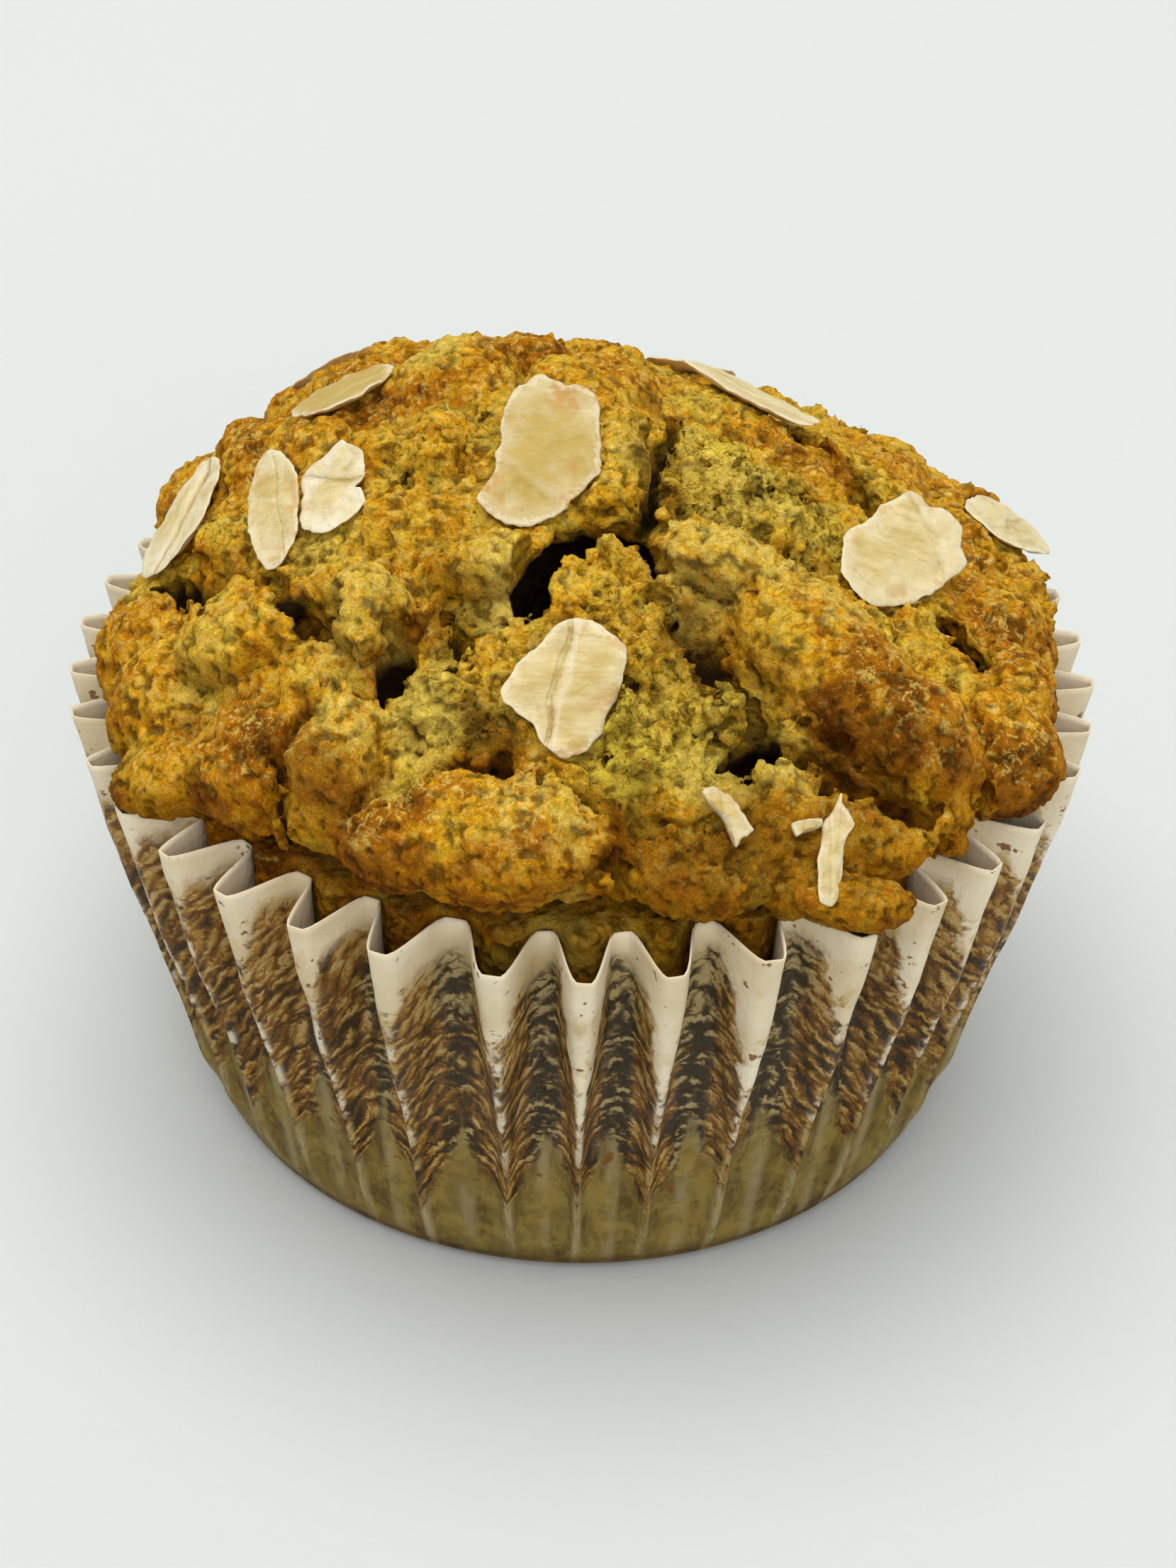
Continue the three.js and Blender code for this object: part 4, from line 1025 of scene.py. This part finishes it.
def make_slivers(material):
    """The broken oats are one piece of three shells."""
    vertices = []
    tables = []
    parts = []
    for number, sliver in enumerate(SLIVERS, start=20):
        shell, faces, attributes = flake_shell(sliver["edge"], 0.2, (0, 0.3, 0.2), SLIVER_THICKNESS, number)
        origin, axes = crown_frame(*sliver["at"])
        middle = crust_below(origin, axes[2]) + axes[2] * (SLIVER_THICKNESS / 2 - FLAKE_SUNK)
        tables += [table + sum(len(part) for part in vertices) for table in faces]
        vertices.append(middle + shell @ axes)
        parts.append(attributes)
    piece = make_mesh("oat_slivers", np.concatenate(vertices), *tables)
    add_attributes(piece, **{name: np.concatenate([part[name] for part in parts]) for name in parts[0]})
    for name, level in (("golden", 0.4), ("powder", 0.5)):
        add_attribute(piece, name, np.full(len(piece.data.vertices), level))
    finish_piece(piece, ["muffin"], material)
    return piece


# ---------------------------------------------------------------- materials


class Value:
    """A number at each point of a material: plain arithmetic on it adds the nodes."""

    def __init__(self, look, socket):
        self.look = look
        self.socket = socket

    def __add__(self, other):
        return self.look.math("ADD", self, other)

    def __sub__(self, other):
        return self.look.math("SUBTRACT", self, other)

    def __rsub__(self, other):
        return self.look.math("SUBTRACT", other, self)

    def __mul__(self, other):
        return self.look.math("MULTIPLY", self, other)

    def __truediv__(self, other):
        return self.look.math("DIVIDE", self, other)

    def __abs__(self):
        return self.look.math("ABSOLUTE", self)

    __radd__ = __add__
    __rmul__ = __mul__

    def between(self, low, high):
        """0 below low, 1 above high, smooth between; high may be under low."""
        inputs = {"Value": self, "From Min": low, "From Max": high}
        node = self.look.add("MapRange", inputs, interpolation_type="SMOOTHSTEP")
        return Value(self.look, node.outputs["Result"])


class Look:
    """A material made by short calls, each of which adds a node and gives back its output."""

    def __init__(self, name, roughness):
        self.material = bpy.data.materials.new(name)
        self.material.use_nodes = True
        self.tree = self.material.node_tree
        self.shader = self.tree.nodes["Principled BSDF"]
        self.shader.inputs["Roughness"].default_value = roughness
        self.place = self.add("TexCoord").outputs["Object"]

    def add(self, kind, inputs=None, **settings):
        node = self.tree.nodes.new("ShaderNode" + kind)
        for key, value in settings.items():
            setattr(node, key, value)
        for key, value in (inputs or {}).items():
            self.feed(node.inputs[key], value)
        return node

    def feed(self, socket, value):
        if isinstance(value, Value):
            value = value.socket
        if isinstance(value, bpy.types.NodeSocket):
            self.tree.links.new(value, socket)
        else:
            socket.default_value = value

    def attributes(self, *names):
        return [Value(self, self.add("Attribute", attribute_name=name).outputs["Fac"]) for name in names]

    def math(self, operation, a, b=0.0):
        return Value(self, self.add("Math", {0: a, 1: b}, operation=operation).outputs[0])

    def most(self, first, *others):
        for other in others:
            first = self.math("MAXIMUM", first, other)
        return first

    def coordinates(self):
        """The place in millimetres, as three numbers."""
        return [Value(self, socket) / MM for socket in self.add("SeparateXYZ", {0: self.place}).outputs]

    def point(self, x, y, z):
        return self.add("CombineXYZ", {0: x, 1: y, 2: z}).outputs[0]

    def mix(self, share, a, b, blend="MIX"):
        node = self.add("Mix", {0: share}, data_type="RGBA", blend_type=blend)
        for socket, colour in ((node.inputs[6], a), (node.inputs[7], b)):
            self.feed(socket, (*colour, 1) if isinstance(colour, tuple) else colour)
        return node.outputs[2]

    def tinted(self, share, colour, tint):
        """The colour times a tint, as strongly as the share says."""
        return self.mix(share, colour, self.mix(1.0, colour, tint, "MULTIPLY"))

    def noise(self, size, detail, rough, warp=0.0, at=None):
        """Noise of a size in millimetres, or of a size in the units of the place that is given."""
        scale = 1 / size if at else 1 / (size * MM)
        inputs = {"Vector": at or self.place, "Scale": scale, "Detail": detail, "Roughness": rough}
        return Value(self, self.add("TexNoise", {**inputs, "Distortion": warp}).outputs["Fac"])

    def scales(self, at):
        """Distance to the nearest of scattered points, in the units of the place."""
        return Value(self, self.add("TexVoronoi", {"Vector": at, "Scale": 1.0}).outputs["Distance"])

    def squeezed(self, at, x, y, z):
        """The place with each direction scaled, to stretch a pattern."""
        return self.add("Mapping", {"Vector": at, "Scale": (x, y, z)}).outputs["Vector"]

    def ramp(self, value, stops):
        node = self.add("ValToRGB", {"Fac": value})
        band = node.color_ramp
        while len(band.elements) < len(stops):
            band.elements.new(0.5)
        for element, (place, colour) in zip(band.elements, stops):
            element.position = place
            element.color = (*colour, 1)
        return node.outputs["Color"]

    def finish(self, colour, specular, *layers):
        """Sets the colour, the gloss and bumps over one another: (height in mm, pattern) pairs."""
        self.feed(self.shader.inputs["Base Color"], colour)
        self.shader.inputs["Specular IOR Level"].default_value = specular
        normal = None
        for height, pattern in layers:
            inputs = {"Distance": height * MM, "Height": pattern, "Strength": 1.0}
            if normal:
                inputs["Normal"] = normal
            normal = self.add("Bump", inputs).outputs["Normal"]
        self.feed(self.shader.inputs["Normal"], normal)
        return self.material


CRUST = dict(
    crumb=(0.93, 0.675, 0.080), gold=(0.98, 0.580, 0.030), orange=(0.98, 0.450, 0.009),
    rust=(0.66, 0.225, 0.003), brown=(0.32, 0.090, 0.002), dark=(0.12, 0.034, 0.001),
    pore=(0.055, 0.022, 0.002), banana=(1.0, 0.74, 0.075), olive=(0.56, 0.350, 0.035),
    pale=(1.0, 0.72, 0.15), shadow=(0.22, 0.135, 0.04), gap_shade=(0.30, 0.122, 0.008),
    depth=(0.02, 0.009, 0.002),
)


def make_crust_material():
    """Baked crust and torn crumb, with painted shade between its grains, in its pores and cracks and under
    its lumps, and paler crust with painted highlight on its tops.
    """
    look = Look("crust", 0.7)
    broad = look.noise(5.0, 3, 0.6)
    patches = look.noise(1.7, 5, 0.66, warp=0.8)
    fine = look.noise(0.6, 5, 0.74, warp=0.7)
    speckle = look.noise(0.17, 2, 0.6, warp=0.5)
    browning, torn, hump, up, pit, edge, below = look.attributes(
        "browning", "torn", "hump", "up", "pit", "edge", "below")
    banana, dark, toast, pale = look.attributes("banana", "dark", "toast", "pale")
    height = look.coordinates()[2]
    baked = (
        0.5 * browning + 1.2 * (broad - 0.5) + 1.25 * (patches - 0.5) + 0.6 * (fine - 0.5)
        + 0.4 * toast - 0.24 * pale + 0.14 * hump
    )
    colour = look.ramp(baked, (
        (0.02, CRUST["crumb"]), (0.18, CRUST["gold"]), (0.37, CRUST["orange"]), (0.55, CRUST["rust"]),
        (0.78, CRUST["brown"]), (1.0, CRUST["dark"]),
    ))
    olive = look.noise(2.2, 4, 0.65).between(0.44, 0.62) * (0.3 * torn + 0.08) * (1 - pale)
    # Painted shade in the low places of the fine and patchy bumps.
    shaded_gaps = look.most(fine.between(0.47, 0.415), 0.35 * patches.between(0.46, 0.36))
    # Painted shade: on the shade spots, in the recesses between lumps, on crust that faces down and just
    # above the paper rim.
    shadow = look.most(
        dark * patches.between(0.85, 0.45),
        0.75 * hump.between(0.02, -0.42) * patches.between(0.75, 0.4),
        0.5 * up.between(0.55, -0.05),
        0.7 * height.between(33, 30),
    )
    # The pale tone is paler crust with painted highlight on the pale spots, and painted highlight on the
    # raised grains of crust that faces up.
    for share, tone in (
        (olive, "olive"), (pale * fine.between(0.38, 0.6), "pale"),
        (0.76 * fine.between(0.505, 0.585) * up.between(0.05, 0.8), "pale"),
        (0.95 * banana * patches.between(0.3, 0.52), "banana"),
    ):
        colour = look.mix(share, colour, CRUST[tone])
    colour = look.tinted(0.95 * shadow, colour, CRUST["shadow"])
    colour = look.mix(shaded_gaps * (0.12 * torn + 0.58) * (1 - 0.75 * pale), colour, CRUST["gap_shade"])
    shade = 0.4 * speckle + 0.84
    colour = look.mix(1.0, colour, look.point(shade, shade, shade), "MULTIPLY")
    # Painted shade in the pits and in the hollows of the fine relief.
    pores = look.most(0.7 * pit, edge.between(-0.03, -0.13))
    colour = look.mix(0.9 * pores, colour, CRUST["pore"])
    # Painted shade, near black, deep in cracks, caves and holes.
    colour = look.mix(below.between(0.9, 2.1), colour, CRUST["depth"])
    return look.finish(colour, 0.06, (0.55, patches), (0.6, fine), (0.1, speckle))


PAPER = dict(
    white=(0.86, 0.755, 0.56), shade=(0.66, 0.53, 0.31), khaki=(0.265, 0.185, 0.034),
    rib=(0.45, 0.36, 0.18), beige=(0.40, 0.300, 0.130), scale=(0.19, 0.130, 0.046),
    olive=(0.075, 0.050, 0.016), dark=(0.020, 0.011, 0.003), amber=(0.38, 0.200, 0.028),
    rust=(0.18, 0.070, 0.006), tan=(0.50, 0.34, 0.12), foot=(0.55, 0.46, 0.30),
    mottle=(0.38, 0.29, 0.13),
)


def make_paper_material():
    """Greaseproof paper: white where it stands free, soaked and crackled where crumb sticks behind it."""
    look = Look("paper", 0.5)
    level, reach, off, lot, rise, inside = look.attributes("level", "reach", "off", "lot", "rise", "inside")
    broad = look.noise(7.0, 3, 0.6)
    blot = look.noise(2.2, 5, 0.7, warp=0.4)
    speck = look.noise(0.8, 4, 0.7, warp=0.6)
    streak = look.noise(1, 4, 0.65, at=look.squeezed(look.place, 1000 / 1.6, 1000 / 1.6, 1000 / 6))
    x, y, _ = look.coordinates()
    left = (x / 60 + 0.8 * (broad - 0.5)).between(0, -0.3)
    side = abs(x - 6) / 30
    scales = look.scales(look.point(
        x / 0.95 + 1.5 * speck, y / 0.95, rise / 0.55 + 3 * (speck - 0.5) + 2 * blot))
    wave = look.math("SINE", TAU / CRIMP_PITCH * rise + 5 * speck + 3 * blot)
    free = 2.12 - 1.9 * level + 0.9 * (blot - 0.5) + 0.25 * (lot - 0.5) + 0.55 * side
    behind = (reach - free).between(0.08, -0.08)
    top = (level + 0.1 * broad + 0.12 * blot + 0.04 * lot).between(1.085, 1.025)
    foot = (level - 0.4 * off + 0.3 * (blot - 0.5) + 0.08 * lot).between(0.24, 0.32)
    soaked = behind * top * foot
    middle = (off + 0.3 * (speck - 0.5) - 0.14 * left).between(0.22, 0.34)
    khaki = (level - 0.14 * broad - 0.22 * off).between(0.42, 0.2)
    seeped = left * (level + 0.5 * (blot - 0.5)).between(0.96, 0.8)
    mottled = 0.55 * khaki * (streak.between(0.44, 0.62) + 0.8 * blot.between(0.56, 0.42))
    ribs = look.most(off.between(0.11, 0.03), 0.6 * off.between(0.34, 0.47))
    ribs = ribs * khaki * streak.between(0.36, 0.6)
    colour = look.mix(broad.between(0.3, 0.75), PAPER["white"], PAPER["shade"])
    for share, tone in (
        (0.8 * off.between(0.22, 0.46) * level.between(1, 0.9), "beige"),
        (0.8 * blot.between(0.52, 0.66) * level.between(0.98, 0.8), "tan"),
        (0.55 * seeped, "tan"), (khaki, "khaki"),
    ):
        colour = look.mix(share, colour, PAPER[tone])
    colour = look.tinted(mottled, colour, PAPER["mottle"])
    colour = look.mix(0.75 * ribs, colour, PAPER["rib"])
    deep = (
        0.2 * level.between(0.92, 0.6) + 0.5 * (blot - 0.5) - 0.09 * wave + 0.35 * (speck - 0.5) + scales
    )
    panel = look.ramp(deep, (
        (0.38, PAPER["beige"]), (0.51, PAPER["scale"]), (0.59, PAPER["olive"]), (0.74, PAPER["dark"]),
    ))
    rusty = look.ramp(deep, (
        (0.34, PAPER["tan"]), (0.50, PAPER["amber"]), (0.68, PAPER["rust"]), (0.98, PAPER["dark"]),
    ))
    stain = look.mix(look.most(1 - middle, left * blot.between(0.47, 0.58)), panel, rusty)
    colour = look.mix(0.95 * soaked, colour, stain)
    glint = off.between(0.075, 0.02) * look.noise(1.6, 3, 0.6).between(0.46, 0.58)
    glint = glint * level.between(0.24, 0.36) * level.between(0.86, 0.7)
    bare = look.mix(level.between(0.36, 0.46), PAPER["tan"], PAPER["white"])
    colour = look.mix(0.8 * glint, colour, bare)
    spots = look.noise(1.3, 3, 0.6).between(0.64, 0.68) * level.between(0.12, 0.3)
    colour = look.mix(0.9 * spots, colour, PAPER["rust"])
    base_line = (level + 0.06 * (blot - 0.5)).between(0.09, 0)
    colour = look.tinted(base_line, colour, PAPER["foot"])
    colour = look.mix(inside, colour, look.mix(khaki, PAPER["white"], PAPER["khaki"]))
    return look.finish(colour, 0.2, (-0.1, scales * soaked), (0.08, speck), (0.1, ribs))


OAT = dict(
    cream=(0.72, 0.59, 0.29), golden=(0.50, 0.345, 0.062), powder=(0.80, 0.73, 0.54),
    toast=(0.52, 0.25, 0.02), crease=(0.42, 0.25, 0.04), grey=(0.42, 0.36, 0.22),
)


def make_oat_material():
    """Rolled oats: streaky and creased, powdery at the edge and toasted in places."""
    look = Look("oat", 0.45)
    rim, golden, powder, depth, fold, u, v = look.attributes(
        "rim", "golden", "powder", "depth", "fold", "u", "v")
    along = look.point(u, v, 0.0)
    broad = look.noise(2.6, 4, 0.65)
    streak = look.noise(1, 4, 0.65, warp=0.5, at=look.squeezed(along, 0.8, 3.2, 1.0))
    veins = look.noise(1, 3, 0.7, warp=0.3, at=look.squeezed(along, 1.6, 9.0, 1.0))
    fine = look.noise(0.3, 3, 0.7)
    middle = (rim + 0.9 * (broad - 0.5)).between(0.98, 0.6)
    warm = 0.9 * golden + 1.6 * (streak - 0.5) + 0.25 * middle - 0.3
    powdery = powder * (broad + 0.35 * rim).between(0.6, 0.85)
    edge = 0.6 * (rim + 0.3 * (fine - 0.5)).between(0.86, 0.97)
    toast = look.noise(1.8, 3, 0.6).between(0.52, 0.64) * rim.between(0.35, 0.85)
    fold = fold + 0.1 * fine - 0.05
    # Painted shade in the crease of the fold.
    line = abs(fold).between(0.07, 0) * depth
    # Painted highlight on the raised side of the fold, in the powder tone.
    lit = abs(fold - 0.14).between(0.09, 0) * depth
    colour = OAT["cream"]
    for share, tone in (
        (warm.between(0, 0.7), "golden"), (0.4 * veins.between(0.54, 0.68), "golden"),
        (look.most(powdery, edge), "powder"), (toast * (0.6 * golden + 0.2), "toast"),
        (0.5 * lit, "powder"), (line * streak.between(0.3, 0.7), "crease"),
        (0.35 * fine.between(0.44, 0.3), "grey"),
    ):
        colour = look.mix(share, colour, OAT[tone])
    look.shader.inputs["Subsurface Weight"].default_value = 0.25
    look.shader.inputs["Subsurface Radius"].default_value = (0.0009, 0.0006, 0.0003)
    return look.finish(colour, 0.4, (0.14, broad), (0.1, streak), (0.05, veins), (0.03, fine), (-0.1, line))


FLOOR_COLOUR = (0.66, 0.685, 0.67)


def make_floor_material():
    look = Look("floor", 0.9)
    tint = look.noise(90, 2, 0.5).between(0.2, 0.8)
    darker = tuple(0.985 * channel for channel in FLOOR_COLOUR)
    return look.finish(look.mix(tint, FLOOR_COLOUR, darker), 0.5, (0.05, look.noise(1.6, 2, 0.5)))


# ---------------------------------------------------------------- floor, light and camera


def make_floor(material):
    """A pale sheet that runs back and curves up far behind the muffin."""
    width = 900.0
    front = -500.0
    bend_start = 450.0
    bend_radius = 350.0
    profile = [(front, 0.0), (0.0, 0.0), (bend_start, 0.0)]
    for i in range(1, 25):
        turn = i / 24 * math.pi / 2
        profile.append((bend_start + bend_radius * math.sin(turn), bend_radius * (1 - math.cos(turn))))
    profile.append((bend_start + bend_radius, 1200.0))
    vertices = [(side * width, y, z) for y, z in profile for side in (-1, 1)]
    quads = 2 * np.arange(len(profile) - 1)[:, None] + np.array([0, 1, 3, 2])
    floor = make_mesh("floor", vertices, quads)
    floor.data.materials.append(material)


def add_area_light(name, place, aim, size, power, colour):
    data = bpy.data.lights.new(name, "AREA")
    data.shape = "DISK"
    data.size = size * MM
    data.energy = power
    data.color = colour
    light = bpy.data.objects.new(name, data)
    direction = Vector(aim) - Vector(place)
    light.rotation_euler = direction.to_track_quat("-Z", "Y").to_euler()
    light.location = Vector(place) * MM
    bpy.context.scene.collection.objects.link(light)


def add_lights():
    add_area_light("overhead", (-150, 0, 1700), (0, 0, 30), 1800, 22.5, (1.0, 0.985, 0.96))
    add_area_light("front", (350, -1500, 1000), (0, 0, 20), 1100, 8.0, (1.0, 0.99, 0.98))
    world = bpy.data.worlds.new("studio")
    world.use_nodes = True
    background = world.node_tree.nodes["Background"]
    background.inputs["Color"].default_value = (0.96, 0.98, 1.0, 1)
    background.inputs["Strength"].default_value = 0.50
    bpy.context.scene.world = world
    bpy.context.scene.view_settings.view_transform = "Standard"


def add_camera():
    data = bpy.data.cameras.new("camera")
    data.sensor_width = SENSOR_MM
    data.lens = CAMERA["focal_px"] * SENSOR_MM / max(PICTURE)
    data.clip_start = 0.01
    data.clip_end = 10
    tilt = math.radians(CAMERA["elevation"])
    roll = math.radians(CAMERA["roll"])
    forward = Vector((0, math.cos(tilt), -math.sin(tilt)))
    right = Vector((1, 0, 0))
    up = right.cross(forward)
    right, up = (
        math.cos(roll) * right + math.sin(roll) * up,
        math.cos(roll) * up - math.sin(roll) * right,
    )
    place = Vector((CAMERA["side"], 0, CAMERA["aim_height"])) - CAMERA["distance"] * forward
    camera = bpy.data.objects.new("camera", data)
    axes = Matrix((right, up, -forward)).transposed().to_4x4()
    camera.matrix_world = Matrix.Translation(place * MM) @ axes
    bpy.context.scene.collection.objects.link(camera)
    bpy.context.scene.camera = camera


# ---------------------------------------------------------------- the scene

make_muffin(make_crust_material())
make_paper_case(make_paper_material())
OAT_LOOK = make_oat_material()
for index, (flake, laid) in enumerate(zip(FLAKES, LAID_FLAKES), start=1):
    make_flake(index, flake, laid, OAT_LOOK)
make_slivers(OAT_LOOK)
make_floor(make_floor_material())
add_lights()
add_camera()
